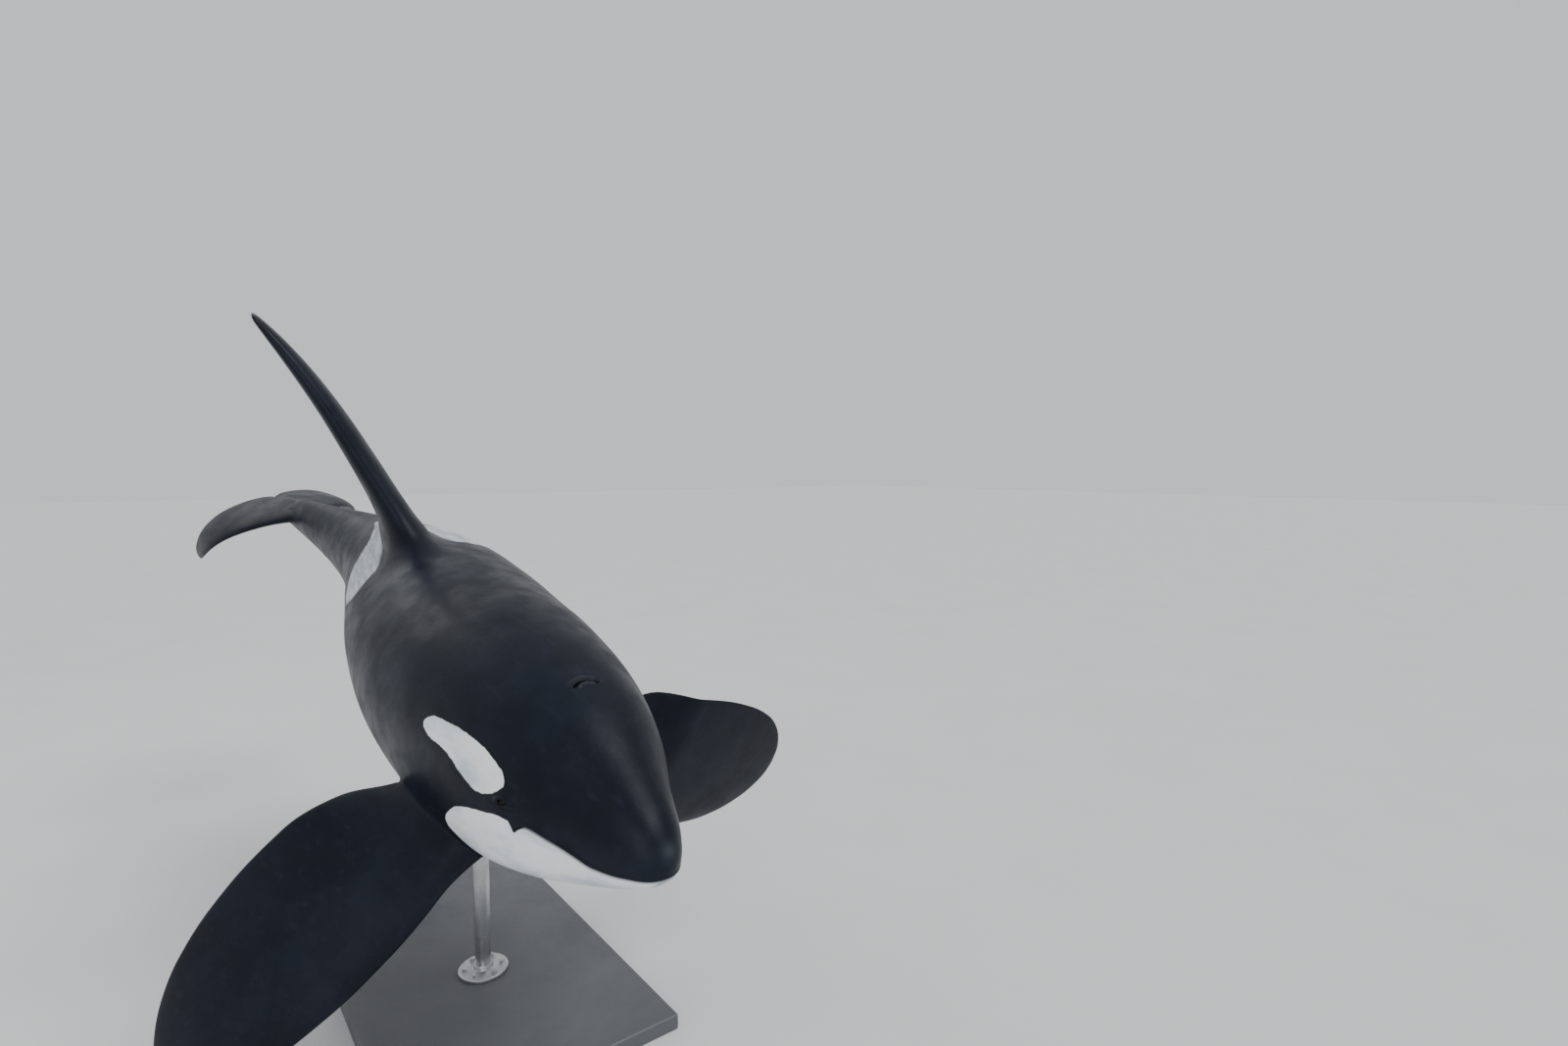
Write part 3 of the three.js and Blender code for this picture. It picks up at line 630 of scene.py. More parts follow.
def easeFoot(bm, tree, loop, rings):  # smooths the join of fin and trunk
    finVerts = {v for ring in rings for v in ring}
    levels = {v: 0 for v in loop}
    front = list(loop)
    for level in range(1, blade["easedRows"] + 1):
        found = []
        for other in [e.other_vert(v) for v in front for e in v.link_edges]:
            if other not in levels and other not in finVerts:
                levels[other] = level
                found.append(other)
        front = found
    margin = bm.verts.layers.float["footMargin"]
    for vert in levels:
        closest = min((vert.co - v.co).length for v in loop)
        vert[margin] = max(vert[margin], markings["footReach"] - closest)
    near = list(levels) + [v for ring in rings[:blade["easedRings"]] for v in ring]
    for _ in range(blade["easeRounds"]):
        easeOnce(bm, near)
        for vert, level in levels.items():
            vert.co = vert.co.lerp(tree.find_nearest(vert.co)[0], clamp((level - 1) / 5))


def graft(bm, tree, fin, values, part):  # grows a fin out of the edge of its hole, ring by ring
    contour, out, _ = fin
    flare, span, step = values["flare"], values["span"], values["step"]
    kind = bm.verts.layers.int["part"]
    alongLayer, roundLayer = bm.verts.layers.float["along"], bm.verts.layers.float["round"]
    rootPoint, points = findRoots(tree, fin, flare)
    loop, edges = cutHole(bm, points, out)
    angles = evenAngles(loop, points)
    firstShares = []
    for vert, angle in zip(loop, angles):
        share, vert.co = rootPoint(angle)
        firstShares.append(share)

    places = [flare * k for k in blade["footSteps"]]
    while places[-1] < span * blade["tipFrom"]:
        places.append(places[-1] + step)
    shares = [p / span for p in places[:-1]] + list(blade["tipSteps"])
    previous, rings = loop, []
    for t in shares:
        made = bmesh.ops.extrude_edge_only(bm, edges=edges)["geom"]
        fresh = {v for v in made if isinstance(v, bmesh.types.BMVert)}
        edges = [e for e in made if isinstance(e, bmesh.types.BMEdge) and e.is_boundary]
        ring = []
        for vert in previous:
            ring.append([e.other_vert(vert) for e in vert.link_edges if e.other_vert(vert) in fresh][0])
        for vert, angle, share in zip(ring, angles, firstShares):
            here = mix(share, 1, t)
            vert.co = contour(here, angle, filletSwell((here - share) * span, flare))
            vert[kind] = part
            vert[alongLayer], vert[roundLayer] = here, angle
        rings.append(ring)
        previous = ring
    bmesh.ops.contextual_create(bm, geom=edges)
    easeFoot(bm, tree, loop, rings)
    bm.normal_update()


# Markings, worked out on the straight body

markings = {
    "eyePatch": [  # share of the length, degrees round the trunk on the right side
        (0.2, 165), (0.1985, 161.5), (0.1905, 159), (0.1769, 158), (0.1604, 157), (0.1458, 156.5),
        (0.1316, 156.5), (0.1192, 158), (0.1105, 160), (0.1062, 163), (0.1058, 166), (0.1095, 169),
        (0.1137, 171.5), (0.1219, 174), (0.1302, 175), (0.1386, 174), (0.1501, 172),
        (0.1604, 170), (0.1739, 168.5), (0.1892, 168),
    ],
    "saddle": [
        (0.548, 92), (0.507, 101), (0.468, 108), (0.451, 114), (0.4475, 122), (0.448, 130),
        (0.459, 139), (0.48, 147), (0.505, 149), (0.523, 144), (0.538, 136), (0.545, 126),
        (0.563, 113), (0.595, 101), (0.62, 92), (0.64, 82), (0.6, 80), (0.57, 84),
    ],
    "throat": [  # degrees up from the belly's middle to where the white ends
        (0.09, 90), (0.0954, 91.5), (0.1032, 91.5), (0.1164, 90), (0.1316, 87), (0.1487, 82),
        (0.1604, 75), (0.17, 66), (0.173, 56), (0.179, 48), (0.195, 41), (0.22, 35), (0.26, 31),
        (0.3, 29), (0.36, 29), (0.42, 32), (0.5, 38), (0.56, 42), (0.61, 36), (0.66, 25),
        (0.71, 16), (0.77, 10), (0.82, 6), (0.85, 2), (0.87, -6), (1.0, -30),
    ],
    "flankLobe": [  # share, degrees up from the belly's middle
        (0.49, 28), (0.525, 38), (0.565, 50), (0.61, 61), (0.655, 69), (0.7, 74), (0.738, 76),
        (0.762, 73), (0.752, 67), (0.722, 60), (0.69, 52), (0.662, 43), (0.64, 33), (0.62, 24),
    ],
    "patchRadius": 0.5,
    "saddleRadius": 0.55,
    "lobeRadius": 0.4,
    "lipWhite": 0.004,  # the white's edge above the mouth line
    "lipWhiteFrom": (0.001, 0.004),
    "notch": (0.0918, -0.014),  # lowest point of the dark notch at the mouth's corner
    "notchSlope": 0.8,
    "scuff": (0.003, 79),  # pale scuff on the snout, share and degrees
    "scuffRadius": 0.038,
    "footShare": 0.06,  # the saddle runs this far up the fin
    "footReach": 0.2,
    "footBlack": 0.025,  # black margin round a flipper's foot
    "flukeChord": 0.32,  # the flukes' white starts this far back, as a share of the chord
    "flukeEdges": (0.05, 0.36, 0.13),  # and stays this far from the rear edge, tip and root
    "flukeTurn": (0.2, 0.03),  # how sharply it ends where the underside turns up
}
throatCurve = curveThrough(markings["throat"])


def closedCurve(points, steps=6):  # a smooth closed outline through the points
    made = []
    count = len(points)
    for i in range(count):
        a, b, c, d = [points[(i + k) % count] for k in (-1, 0, 1, 2)]
        for k in range(steps):
            t = k / steps
            made.append(tuple(
                0.5 * (2 * b[n] + (c[n] - a[n]) * t + (2 * a[n] - 5 * b[n] + 4 * c[n] - d[n]) * t * t
                       + (3 * b[n] - a[n] - 3 * c[n] + d[n]) * t ** 3) for n in (0, 1)))
    return made


def outlineOf(rows, radius):
    return closedCurve([(share * length, radians(angle) * radius) for share, angle in rows])


def distanceInside(outline, x, y):  # how far inside an outline, less than 0 outside it
    margin = 0.08
    xs, ys = [p[0] for p in outline], [p[1] for p in outline]
    if not (min(xs) - margin < x < max(xs) + margin and min(ys) - margin < y < max(ys) + margin):
        return -margin
    best = 1e9
    for (ax, ay), (bx, by) in zip(outline, outline[1:] + outline[:1]):
        dx, dy = bx - ax, by - ay
        t = clamp(((x - ax) * dx + (y - ay) * dy) / (dx * dx + dy * dy + 1e-12))
        best = min(best, hypot(x - ax - dx * t, y - ay - dy * t))
    return best if insidePolygon(outline, x, y) else -best


patchOutline = outlineOf(markings["eyePatch"], markings["patchRadius"])
saddleOutline = outlineOf(markings["saddle"], markings["saddleRadius"])
lobeOutline = outlineOf(markings["flankLobe"], markings["lobeRadius"])


def cornerGap(point):  # how far from the dark notch at the corner of the mouth
    x, z = markings["notch"]
    slope = markings["notchSlope"]
    return (abs(-point.x - x * length) - (point.z - z * length) * slope) / hypot(1, slope)


def throatWhite(point, upFromBelly):  # distance below the white's upper edge
    share = -point.x / length
    side = 1 if point.y >= 0 else -1
    if share < mouth["corner"]:
        edge = mouthHeight(share) + markings["lipWhite"] * smooth(share, *markings["lipWhiteFrom"])
        return min(edge - point.z, cornerGap(point))
    edgeAngle = radians(throatCurve(share)[0])
    edge = trunkPoint(share, edgeAngle - pi / 2)
    edge.y *= side if edgeAngle > 0 else 0
    gap = (point - edge).length
    return min(gap, cornerGap(point)) if upFromBelly < edgeAngle else -gap


def trunkMarks(point):
    share = -point.x / length
    angle = roundAngle(point)
    upFromBelly = abs((angle + pi / 2 + pi) % (2 * pi) - pi)
    white = throatWhite(point, upFromBelly)
    x = share * length
    mirrored = pi - angle if point.y >= 0 else angle % (2 * pi)
    white = max(white, distanceInside(patchOutline, x, mirrored * markings["patchRadius"]))
    white = max(white, distanceInside(lobeOutline, x, upFromBelly * markings["lobeRadius"]))
    saddle = distanceInside(saddleOutline, x, mirrored * markings["saddleRadius"])
    return white, saddle


flukeShape = curveThrough(flukes["rows"])


def flukeMarks(share, angle):  # white underneath, dark along the edges
    front, rear, _ = flukeShape(clamp(share))
    chord = (rear - front) * length
    fromFront = chord * (1 - cos(angle)) / 2
    fromRear = chord - fromFront
    span = flukes["span"]
    rearEdge, tipEdge, rootEdge = markings["flukeEdges"]
    steep, least = markings["flukeTurn"]
    return min(fromFront - markings["flukeChord"] * chord, fromRear - rearEdge,
               (1 - share) * span - tipEdge, share * span - rootEdge, -sin(angle) * steep - least)


# Eyes, blowhole and folds

eye = {
    "share": 0.1035,
    "angle": 8,  # degrees above the widest level
    "radius": 0.03,
    "depth": 0.0215,
    "openLength": 0.025,
    "openHeight": 0.0105,
    "tilt": 12,
    "segments": (56, 40),
    "lids": (0.0085, 0.0045, 0.0065),  # height, distance past the opening, width
    "crease": (0.003, 0.02, 0.0055),
    "brow": (0.0065, 0.012, 0.05, 1.7),  # height, distance above, width, how much longer than wide
    "socket": (0.034, -0.0065, 0.0015),  # depth, where it starts and ends past the opening
    # painted shade in the eye socket, fading out past the opening
    "shadeFrom": (-0.003, 0.006),
    "reach": 0.3,
    "fineRadius": 0.075,
}
blowhole = {
    "share": 0.1045,
    "angle": 93,
    "radius": 0.075,  # of the slit's curve
    "halfAngle": 50,
    "slit": (0.03, 0.0075),  # depth, width
    "hollow": (0.008, 0.018),  # behind the slit
    "lip": (0.0045, 0.012),  # in front of it
    "knobs": (0.005, 0.014),  # at its ends
    "mound": (0.006, 0.07),
    "moundSquash": 0.8,
    "offsets": (0.017, 0.014, -0.013),  # of the hollow, its painted shade and the lip from the slit
    "endFade": (-0.25, 0.15),  # radians from the slit's end
    # strength of the painted shade in the hollow behind the slit
    "hollowShade": 0.7,
    "reach": 0.3,
    "fineRadius": 0.1,
}
fold = {  # the crease that runs back and down from the mouth's corner
    "from": (0.0935, -6),
    "to": (0.128, -34),
    "depth": 0.007,
    "width": 0.016,
    "fade": 0.6,
}
foldEnds = [trunkPoint(s, radians(a)) for s, a in (fold["from"], fold["to"])]


def surfaceFrame(share, angle):
    small = 0.002
    point = trunkPoint(share, angle)
    back = (trunkPoint(share + small, angle) - point).normalized()
    around = (trunkPoint(share, angle + small) - point).normalized()
    out = back.cross(around).normalized()
    return point, back, out


def eyeFrame(side):
    angle = radians(eye["angle"])
    return surfaceFrame(eye["share"], angle if side > 0 else pi - angle)


def refine(bm, centre, radius, cuts):
    near = [f for f in bm.faces if (f.calc_center_median() - centre).length < radius]
    edges = list(dict.fromkeys(e for face in near for e in face.edges))
    bmesh.ops.subdivide_edges(bm, edges=edges, cuts=cuts, use_grid_fill=True)


def mouthRelief(point):
    share = -point.x / length
    gap = point.z - mouthHeight(share)
    end = 1 - smooth(share - mouth["corner"], *mouth["cornerFade"])
    lips = bump(abs(gap) - mouth["lipFromLine"], mouth["lipWidth"]) * mouth["lipHeight"]
    groove = bump(gap, mouth["grooveWidth"]) * mouth["grooveDepth"]
    return (lips - groove) * end


def eyeRelief(point, frames):
    relief, shade = 0.0, 0.0
    for side, (centre, back, out) in frames.items():
        offset = point - centre
        if offset.length > eye["reach"]:
            continue
        up = out.cross(back) * (1 if side > 0 else -1)
        x, y = offset.dot(back), offset.dot(up)
        turn = radians(eye["tilt"])
        x, y = x * cos(turn) - y * sin(turn), x * sin(turn) + y * cos(turn)
        r = hypot(x / eye["openLength"], y / eye["openHeight"])
        beyond = (r - 1) * eye["openHeight"]
        for (height, middle, width), way in ((eye["lids"], 1), (eye["crease"], -1)):
            relief += way * height * bump(beyond - middle, width)
        height, above, width, longer = eye["brow"]
        relief += height * bump(hypot(x / longer, y - above), width)
        depth, start, end = eye["socket"]
        relief -= depth * (1 - smooth(beyond, start, end))
        # painted shade down in the socket
        shade = max(shade, 1 - smooth(beyond, *eye["shadeFrom"]))
    return relief, shade


def blowholeRelief(point, frame):
    centre, back, out = frame
    offset = point - centre
    if offset.length > blowhole["reach"]:
        return 0.0, 0.0
    x, y = offset.dot(back), offset.dot(out.cross(back))
    half, radius = radians(blowhole["halfAngle"]), blowhole["radius"]
    turn = atan2(y, x)
    angle = clamp(turn, -half, half)
    gap = hypot(x - cos(angle) * radius, y - sin(angle) * radius)
    side = hypot(x, y) - radius  # more than 0 behind the slit
    edge = 1 - smooth(abs(turn) - half, *blowhole["endFade"])
    hollowAt, shadeAt, lipAt = blowhole["offsets"]
    squash = blowhole["moundSquash"]

    def raised(name, distance):
        height, width = blowhole[name]
        return height * bump(distance, width)
    ends = [hypot(x - cos(half * k) * radius * 1.05, y - sin(half * k) * radius * 1.05) for k in (-1, 1)]
    relief = (raised("lip", side - lipAt) - raised("hollow", side - hollowAt)) * edge - raised("slit", gap)
    relief += sum(raised("knobs", end) for end in ends)
    relief += raised("mound", hypot(x - radius * squash, y * squash))
    # painted shade in the slit and in the hollow behind it
    slitShade = bump(gap, blowhole["slit"][1] * 1.5)
    return relief, max(slitShade, blowhole["hollowShade"] * bump(side - shadeAt, blowhole["lip"][1]) * edge)


def foldRelief(point):
    start, end = foldEnds
    place = Vector((point.x, abs(point.y), point.z))
    t = clamp((place - start).dot(end - start) / (end - start).length_squared)
    gap = (place - start.lerp(end, t)).length
    return -fold["depth"] * bump(gap, fold["width"]) * (1 - fold["fade"] * t)


def trunkDetail(point, frames, holeFrame):  # relief, and the painted shade down in the mouth groove, blowhole and eye socket
    relief, shade = eyeRelief(point, frames)
    hole, holeShade = blowholeRelief(point, holeFrame)
    relief += hole + mouthRelief(point) + foldRelief(point)
    shade = max(shade, holeShade)
    share = -point.x / length
    # painted shade along the mouth groove
    if share < mouth["corner"] + 0.003:
        shade = max(shade, bump(point.z - mouthHeight(share), mouth["grooveWidth"]))
    return relief, shade


def makeSkin():
    bm = makeTrunk()
    print("trunk", len(bm.verts), "points")
    tree = BVHTree.FromBMesh(bm)
    kind = bm.verts.layers.int.new("part")
    for name in ("along", "round", "footMargin"):
        bm.verts.layers.float.new(name)
    graft(bm, tree, dorsalFin(), dorsal, 1)
    for side in (1, -1):
        graft(bm, tree, flipperFin(side), flippers, 2)
        graft(bm, tree, flukeFin(side), flukes, 3)
    start, reach = flukes["notchFrom"]
    notch = [v for v in bm.verts if v.co.x < -start * length and abs(v.co.y) < reach]
    for _ in range(flukes["notchRounds"]):
        easeOnce(bm, notch)
    print("fins joined", len(bm.verts), "points")

    frames = {side: eyeFrame(side) for side in (1, -1)}
    holeFrame = surfaceFrame(blowhole["share"], radians(blowhole["angle"]))
    for side in frames:
        refine(bm, frames[side][0], eye["fineRadius"], 4)
    refine(bm, holeFrame[0] + holeFrame[1] * blowhole["radius"] * 0.9, blowhole["fineRadius"], 3)
    bmesh.ops.triangulate(bm, faces=[f for f in bm.faces if len(f.verts) > 4])
    bm.normal_update()

    flat = bm.verts.layers.float_vector.new("flat")
    marks = [bm.verts.layers.float.new(name) for name in ("white", "saddle", "shade", "scuff")]
    alongLayer, roundLayer, marginLayer = [
        bm.verts.layers.float[name] for name in ("along", "round", "footMargin")]
    scuffPlace = trunkPoint(markings["scuff"][0], radians(markings["scuff"][1]))
    reliefs = []
    for vert in bm.verts:
        values, relief = [-0.1, -0.1, 0.0, 0.0], 0.0
        if vert[kind] == 0:
            values[0], values[1] = trunkMarks(vert.co)
            if vert[marginLayer] and -vert.co.x / length < 0.4:
                values[0] = min(values[0], markings["footReach"] - vert[marginLayer] - markings["footBlack"])
            relief, values[2] = trunkDetail(vert.co, frames, holeFrame)
            values[3] = bump((vert.co - scuffPlace).length, markings["scuffRadius"])
        elif vert[kind] == 3:
            values[0] = flukeMarks(vert[alongLayer], vert[roundLayer])
        elif vert[kind] == 1 and vert[alongLayer] < markings["footShare"]:
            left = (markings["footShare"] - vert[alongLayer]) * dorsal["span"]
            values[1] = min(trunkMarks(vert.co)[1], left)
        for layer, value in zip(marks, values):
            vert[layer] = value
        vert[flat] = vert.co
        reliefs.append(relief)
    for vert, relief in zip(bm.verts, reliefs):
        vert.co = posed(vert.co + vert.normal * relief)
    bmesh.ops.recalc_face_normals(bm, faces=bm.faces)
    print("skin", len(bm.verts), "points", sum(len(f.verts) - 2 for f in bm.faces), "triangles")
    return newObject("orcaSkin", bm)


skinPiece = makeSkin()
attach(skinPiece, "root")
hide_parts("head", "lower_jaw", "chest", "torso", "loin", "tail_stock", "dorsal_fin",
            "flipper_left", "flipper_right", "fluke_left", "fluke_right")


# Materials

class Shading:  # short ways to add nodes to one material
    def __init__(self, name, color, roughness, metallic=0.0):
        self.material = bpy.data.materials.new(name)
        self.material.use_nodes = True
        self.tree = self.material.node_tree
        self.shader = self.tree.nodes["Principled BSDF"]
        self.set("Base Color", (*color, 1))
        self.set("Roughness", roughness)
        self.set("Metallic", metallic)

    def put(self, inputs, name, value):  # a plain value or another node's output
        if isinstance(value, bpy.types.NodeSocket):
            self.tree.links.new(value, inputs[name])
        else:
            inputs[name].default_value = value

    def set(self, name, value):
        self.put(self.shader.inputs, name, value)

    def add(self, kind, output, inputs, **settings):
        node = self.tree.nodes.new("ShaderNode" + kind)
        for name, value in settings.items():
            setattr(node, name, value)
        for name, value in inputs.items():
            self.put(node.inputs, name, value)
        return node.outputs[output]

    def attribute(self, name, output="Fac"):
        return self.add("Attribute", output, {}, attribute_name=name)

    def place(self):
        return self.add("TexCoord", "Object", {})

    def stretched(self, vector, scale):
        return self.add("Mapping", "Vector", {"Vector": vector, "Scale": scale})

    def noise(self, vector, scale, detail=4.0, roughness=0.55):
        inputs = {"Vector": vector, "Scale": scale, "Detail": detail, "Roughness": roughness}
        return self.add("TexNoise", "Fac", inputs)

    def mapped(self, value, low, high, start=0.0, end=1.0):
        inputs = {"Value": value, "From Min": low, "From Max": high, "To Min": start, "To Max": end}
        return self.add("MapRange", "Result", inputs, interpolation_type="SMOOTHSTEP")

    def math(self, operation, first, second):
        return self.add("Math", 0, {0: first, 1: second}, operation=operation)

    def mixed(self, factor, first, second):
        first, second = [(*c, 1) if isinstance(c, tuple) else c for c in (first, second)]
        return self.add("Mix", 2, {0: factor, 6: first, 7: second}, data_type="RGBA")

    def bumped(self, height, distance, strength, before=None):
        inputs = {"Height": height, "Distance": distance, "Strength": strength}
        if before:
            inputs["Normal"] = before
        return self.add("Bump", "Normal", inputs)


skinLook = {
    "black": (0.0028, 0.0044, 0.01),
    "mottle": (0.0066, 0.0104, 0.0205),
    "streak": (0.012, 0.017, 0.03),
    "mark": (0.05, 0.06, 0.076),
    "white": (0.82, 0.85, 0.86),
    "whiteShadow": (0.54, 0.62, 0.67),
    "saddle": (0.6, 0.63, 0.65),
    "saddleShadow": (0.36, 0.4, 0.43),
    # painted shade colour for the mouth groove, blowhole slit and hollow, and eye socket
    "fold": (0.004, 0.0045, 0.006),
    "whiteEdge": 0.0022,
    "saddleEdge": 0.02,
    "roughness": (0.32, 0.47),
}


def skinMaterial():
    look = skinLook
    m = Shading("orcaSkin", look["black"], 0.36)
    m.set("Specular IOR Level", 0.15)
    flat = m.attribute("flat", "Vector")
    mottle = m.noise(flat, 2.3, 8.0, 0.62)
    along = m.stretched(flat, (0.5, 7.0, 7.0))
    streak = m.noise(along, 3.2, 5.0, 0.6)

    color = m.mixed(m.mapped(mottle, 0.36, 0.7), look["black"], look["mottle"])
    color = m.mixed(m.mapped(streak, 0.52, 0.8, 0, 0.5), color, look["streak"])
    color = m.mixed(m.math("MULTIPLY", m.attribute("scuff"), 0.55), color, look["mark"])

    wobble = m.math("MULTIPLY", m.math("SUBTRACT", m.noise(flat, 24, 5.0), 0.5), 0.012)
    saddle = m.math("ADD", m.attribute("saddle"), m.math("MULTIPLY", m.math("SUBTRACT", streak, 0.5), 0.05))
    saddle = m.mapped(saddle, -look["saddleEdge"], look["saddleEdge"])
    pale = m.mixed(m.mapped(streak, 0.36, 0.64), look["saddleShadow"], look["saddle"])
    color = m.mixed(saddle, color, pale)
    white = m.math("ADD", m.attribute("white"), wobble)
    white = m.mapped(white, -look["whiteEdge"], look["whiteEdge"])
    clean = m.mixed(m.mapped(m.noise(m.stretched(flat, (1, 2.2, 2.2)), 2.6, 4.0), 0.42, 0.68),
                    look["white"], look["whiteShadow"])
    color = m.mixed(white, color, clean)
    # painted shade darkens the mouth groove, blowhole and eye socket
    color = m.mixed(m.attribute("shade"), color, look["fold"])
    m.set("Base Color", color)

    m.set("Roughness", m.mapped(m.noise(flat, 6, 6.0), 0.3, 0.7, *look["roughness"]))
    normal = m.bumped(m.noise(flat, 5, 3.0), 0.006, 0.25)
    normal = m.bumped(m.noise(m.stretched(flat, (0.35, 1, 1)), 95, 3.0), 0.0011, 0.5, normal)
    normal = m.bumped(streak, 0.0015, 0.15, normal)
    m.set("Normal", normal)
    return m.material


skinPiece.data.materials.append(skinMaterial())
print("skin coloured")


# Eyeballs

eyeLook = {
    "pupil": (0.002, 0.002, 0.003),
    "iris": (0.014, 0.007, 0.004),
    "rim": (0.003, 0.002, 0.002),
    "ball": (0.014, 0.01, 0.01),
    "pupilEdge": 0.25,  # angles from the middle of the eye, radians
    "irisEdge": 0.56,
    "cornea": 0.0018,
    "corneaFade": (0.2, 0.6),
}


def eyeMaterial():
    look = eyeLook
    m = Shading("orcaEye", look["iris"], 0.09)
    m.set("Specular IOR Level", 0.16)
    ring = m.attribute("ring")
    fibres = m.noise(m.stretched(m.place(), (260, 260, 260)), 1.0, 3.0)
    color = m.mixed(m.mapped(fibres, 0.35, 0.65), look["rim"], look["iris"])
    color = m.mixed(m.mapped(ring, look["pupilEdge"] - 0.02, look["pupilEdge"] + 0.02), look["pupil"], color)
    color = m.mixed(m.mapped(ring, look["irisEdge"] - 0.06, look["irisEdge"]), color, look["rim"])
    color = m.mixed(m.mapped(ring, look["irisEdge"], look["irisEdge"] + 0.1), color, look["ball"])
    m.set("Base Color", color)
    return m.material


def makeEye(side, material):
    centre, back, out = eyeFrame(side)
    middle = posed(centre - out * eye["depth"])
    look = (posed(centre) - middle).normalized()
    bm = bmesh.new()
    around, down = eye["segments"]
    bmesh.ops.create_uvsphere(bm, u_segments=around, v_segments=down, radius=eye["radius"])
    ring = bm.verts.layers.float.new("ring")
    for vert in bm.verts:
        vert[ring] = vert.co.angle(Vector((0, 0, 1)))
        rise = eyeLook["cornea"] * (1 - smooth(vert[ring], *eyeLook["corneaFade"]))
        vert.co *= 1 + rise / eye["radius"]
    turn = look.to_track_quat("Z", "Y").to_matrix().to_4x4()
    bmesh.ops.transform(bm, matrix=Matrix.Translation(middle) @ turn, verts=bm.verts)
    ball = newObject("eyeballLeft" if side > 0 else "eyeballRight", bm, [material])
    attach(ball, "root")
    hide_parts("eye_left" if side > 0 else "eye_right")


eyeShine = eyeMaterial()
for eyeSide in (1, -1):
    makeEye(eyeSide, eyeShine)
print("eyes set in")


# The stand

stand = {
    "base": (3.0, 1.5, 0.09),
    "edge": 0.012,
    "rodRadius": 0.048,
    "around": 96,
    "raysFrom": 0.5,  # height from which the belly is looked for
    "flange": [  # radius, height over the base
        (0.0484, 0.0), (0.146, 0.0), (0.15, 0.003), (0.15, 0.015), (0.1483, 0.0195), (0.1445, 0.022),
        (0.064, 0.022), (0.06, 0.0235), (0.0575, 0.028), (0.057, 0.046), (0.055, 0.05), (0.0484, 0.05),
    ],
    "bolts": 6,
    "boltCircle": 0.112,
    "boltSize": 0.017,
    "boltHeight": 0.012,
    "boltTurn": 0.3,
    "boltEdge": 0.0009,
    "washer": (1.35, 0.003),  # radius in bolt sizes, height
    "cup": [  # radius, height over the cup's foot or, below 0, from the belly
        (0.0484, 0.0), (0.06, 0.0), (0.0625, 0.004), (0.07, 0.05), (0.08, 0.09), (0.118, 0.14),
        (0.1195, -0.05), (0.12, -0.038), (0.118, -0.033), (0.112, -0.033), (0.0484, -0.04),
    ],
    "pad": [
        (0.0, -0.031), (0.112, -0.031), (0.121, -0.03), (0.125, -0.025), (0.1265, -0.017),
        (0.125, -0.009), (0.121, -0.004), (0.115, -0.0025), (0.08, -0.0025), (0.04, -0.0025),
        (0.0, -0.0025),
    ],
}


def rodPlace(end):
    low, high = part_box("stand_rod_" + end)
    return (low.x + high.x) / 2, (low.y + high.y) / 2, low.z, high.z


def spinProfile(profile):  # a profile that is off the axis closes on itself
    bm = bmesh.new()
    points = [bm.verts.new((radius, 0, height)) for radius, height in profile]
    edges = [bm.edges.new(pair) for pair in zip(points, points[1:])]
    if profile[0][0] > 0:
        edges.append(bm.edges.new((points[-1], points[0])))
    bmesh.ops.spin(bm, geom=points + edges, axis=(0, 0, 1), cent=(0, 0, 0),
                   steps=stand["around"], angle=2 * pi)
    bmesh.ops.remove_doubles(bm, verts=bm.verts, dist=1e-5)
    bmesh.ops.recalc_face_normals(bm, faces=bm.faces)
    return bm


def toPlace(bm, x, y, z):
    bmesh.ops.translate(bm, verts=bm.verts, vec=(x, y, z))


def fitBelly(profile, x, y, foot, tree):  # a turned piece, its top against the belly
    bm = spinProfile(profile)
    toPlace(bm, x, y, 0)
    for vert in bm.verts:
        if vert.co.z < 0:
            start = Vector((vert.co.x, vert.co.y, stand["raysFrom"]))
            vert.co.z += tree.ray_cast(start, Vector((0, 0, 1)))[0].z
        else:
            vert.co.z += foot
    bmesh.ops.recalc_face_normals(bm, faces=bm.faces)
    return bm


def standPiece(name, bm, material, node, sharp=38):  # sharp: angle from which an edge stays crisp
    piece = newObject(name, bm, [material])
    piece.data.set_sharp_from_angle(angle=radians(sharp))
    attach(piece, "root")
    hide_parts(node)
    return piece


def paintMaterial():
    m = Shading("standPaint", (0.09, 0.095, 0.105), 0.45)
    place = m.place()
    dust = m.mapped(m.noise(place, 2.6, 8.0, 0.62), 0.42, 0.74)
    m.set("Base Color", m.mixed(dust, (0.08, 0.085, 0.095), (0.1, 0.104, 0.112)))
    m.set("Roughness", m.mapped(m.noise(place, 5.0, 6.0), 0.3, 0.7, 0.36, 0.56))
    normal = m.bumped(m.noise(place, 420, 2.0), 0.0004, 0.5)
    m.set("Normal", m.bumped(m.noise(place, 3.0, 2.0), 0.002, 0.2, normal))
    return m.material


def steelMaterial():
    m = Shading("standSteel", (0.55, 0.56, 0.57), 0.32, 1.0)
    m.set("Anisotropic", 0.4)
    place = m.place()
    rings = m.noise(m.stretched(place, (6, 6, 900)), 1.0, 3.0)
    cloud = m.noise(place, 7.0, 6.0)
    m.set("Base Color", m.mixed(m.mapped(cloud, 0.35, 0.7), (0.57, 0.58, 0.59), (0.45, 0.46, 0.47)))
    rough = m.math("ADD", m.mapped(rings, 0.3, 0.7, 0.24, 0.4), m.mapped(cloud, 0.4, 0.7, 0, 0.08))
    m.set("Roughness", rough)
    m.set("Normal", m.bumped(rings, 0.0003, 0.35))
    return m.material


def padMaterial():
    m = Shading("standPad", (0.02, 0.02, 0.022), 0.72)
    place = m.place()
    m.set("Base Color", m.mixed(m.mapped(m.noise(place, 30, 5.0), 0.35, 0.7), (0.016, 0.016, 0.018),
                                 (0.034, 0.034, 0.036)))
    m.set("Normal", m.bumped(m.noise(place, 600, 2.0), 0.0005, 0.6))
    return m.material


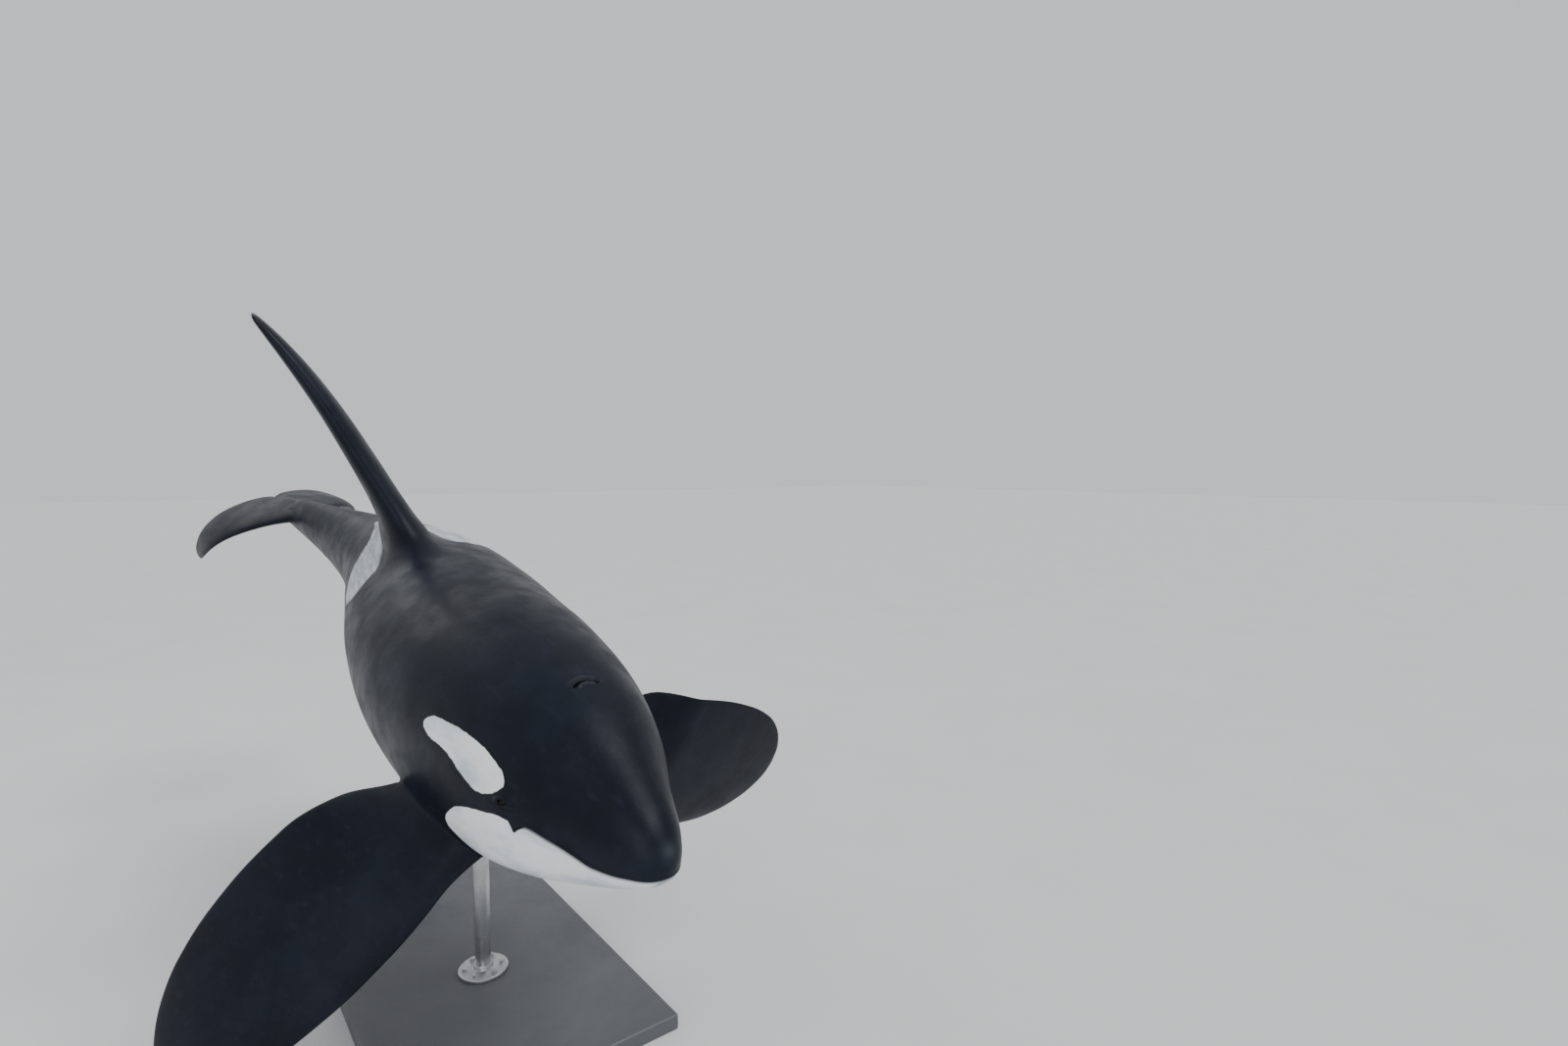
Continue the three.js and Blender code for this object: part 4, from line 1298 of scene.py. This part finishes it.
def makeBase(paint):
    bm = bmesh.new()
    bmesh.ops.create_cube(bm, size=1)
    bmesh.ops.scale(bm, vec=stand["base"], verts=bm.verts)
    toPlace(bm, 0, 0, stand["base"][2] / 2)
    bmesh.ops.bevel(bm, geom=bm.edges[:], offset=stand["edge"], segments=5, profile=0.5, affect="EDGES",
                    material=-1)
    standPiece("standBase", bm, paint, "stand_base")


def makeRod(end, steel):
    x, y, low, high = rodPlace(end)
    bm = bmesh.new()
    bmesh.ops.create_cone(bm, cap_ends=True, segments=stand["around"], radius1=stand["rodRadius"],
                          radius2=stand["rodRadius"], depth=high - low)
    toPlace(bm, x, y, (low + high) / 2)
    standPiece("rod" + end.title(), bm, steel, "stand_rod_" + end)


def makeFlange(end, steel):
    x, y, low, high = rodPlace(end)
    bm = spinProfile(stand["flange"])
    top = max(height for radius, height in stand["flange"] if radius > stand["boltCircle"])
    for k in range(stand["bolts"]):
        angle = 2 * pi * k / stand["bolts"] + stand["boltTurn"]
        spot = (cos(angle) * stand["boltCircle"], sin(angle) * stand["boltCircle"])
        wider, thick = stand["washer"]
        for sides, times, height, lift in ((40, wider, thick, 0.0), (6, 1.0, stand["boltHeight"], thick)):
            middle = Matrix.Translation((*spot, top + lift + height / 2)) @ Matrix.Rotation(angle, 4, "Z")
            radius = stand["boltSize"] * times
            made = bmesh.ops.create_cone(bm, cap_ends=True, segments=sides, radius1=radius,
                                         radius2=radius, depth=height, matrix=middle)
            edges = {e for v in made["verts"] for e in v.link_edges}
            rim = [e for e in edges if min(v.co.z for v in e.verts) > middle[2][3]]
            bmesh.ops.bevel(bm, geom=rim, offset=stand["boltEdge"], segments=2, profile=0.5,
                            affect="EDGES", material=-1)
    toPlace(bm, x, y, low)
    standPiece("flange" + end.title(), bm, steel, "stand_flange_" + end, 30)


def makeCup(end, steel, rubber, tree):
    x, y = rodPlace(end)[:2]
    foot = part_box("stand_cup_" + end)[0].z
    cup = fitBelly(stand["cup"], x, y, foot, tree)
    standPiece("cup" + end.title(), cup, steel, "stand_cup_" + end)
    lining = newObject("cupPad" + end.title(), fitBelly(stand["pad"], x, y, foot, tree), [rubber])
    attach(lining, "root")


def makeStand():
    paint, steel, rubber = paintMaterial(), steelMaterial(), padMaterial()
    tree = BVHTree.FromObject(skinPiece, bpy.context.evaluated_depsgraph_get())
    makeBase(paint)
    for end in ("front", "rear"):
        makeRod(end, steel)
        makeFlange(end, steel)
        makeCup(end, steel, rubber, tree)


makeStand()
print("stand built")


# Floor and light

room = {
    "floor": (0.66, 0.665, 0.67),
    "floorSize": 90,
    "sky": (0.9, 0.92, 0.94),
    "skyStrength": 0.8,
    "sun": ((4.0, 3.0, 8.0), 1.7, 35),  # comes from, strength, softness in degrees
    "lamps": {  # place, aims at, size, watts
        "fill": ((7.0, -5.0, 4.0), (0.8, 0, 1.8), 6.0, 160),
        "back": ((-6.5, -2.5, 7.5), (-1.5, 0, 2.4), 5.0, 70),
    },
}


def floorMaterial():
    m = Shading("floor", room["floor"], 0.75)
    spots = m.mapped(m.noise(m.place(), 0.8, 6.0), 0.35, 0.7)
    m.set("Base Color", m.mixed(spots, room["floor"], tuple(c * 0.97 for c in room["floor"])))
    return m.material


def addLamp(data, place, target):
    lamp = bpy.data.objects.new(data.name, data)
    bpy.context.scene.collection.objects.link(lamp)
    lamp.location = place
    lamp.rotation_euler = (Vector(target) - Vector(place)).to_track_quat("-Z", "Y").to_euler()


def makeRoom():
    bm = bmesh.new()
    bmesh.ops.create_grid(bm, x_segments=1, y_segments=1, size=room["floorSize"])
    floor = newObject("floor", bm, [floorMaterial()])
    world = bpy.data.worlds.new("world")
    bpy.context.scene.world = world
    world.use_nodes = True
    sky = world.node_tree.nodes["Background"]
    sky.inputs["Color"].default_value = (*room["sky"], 1)
    sky.inputs["Strength"].default_value = room["skyStrength"]
    place, strength, softness = room["sun"]
    data = bpy.data.lights.new("sun", "SUN")
    data.energy, data.angle = strength, radians(softness)
    addLamp(data, place, (0, 0, 0))
    for name, (place, target, size, watts) in room["lamps"].items():
        data = bpy.data.lights.new(name, "AREA")
        data.size, data.energy = size, watts
        addLamp(data, place, target)


makeRoom()
print("room lit")
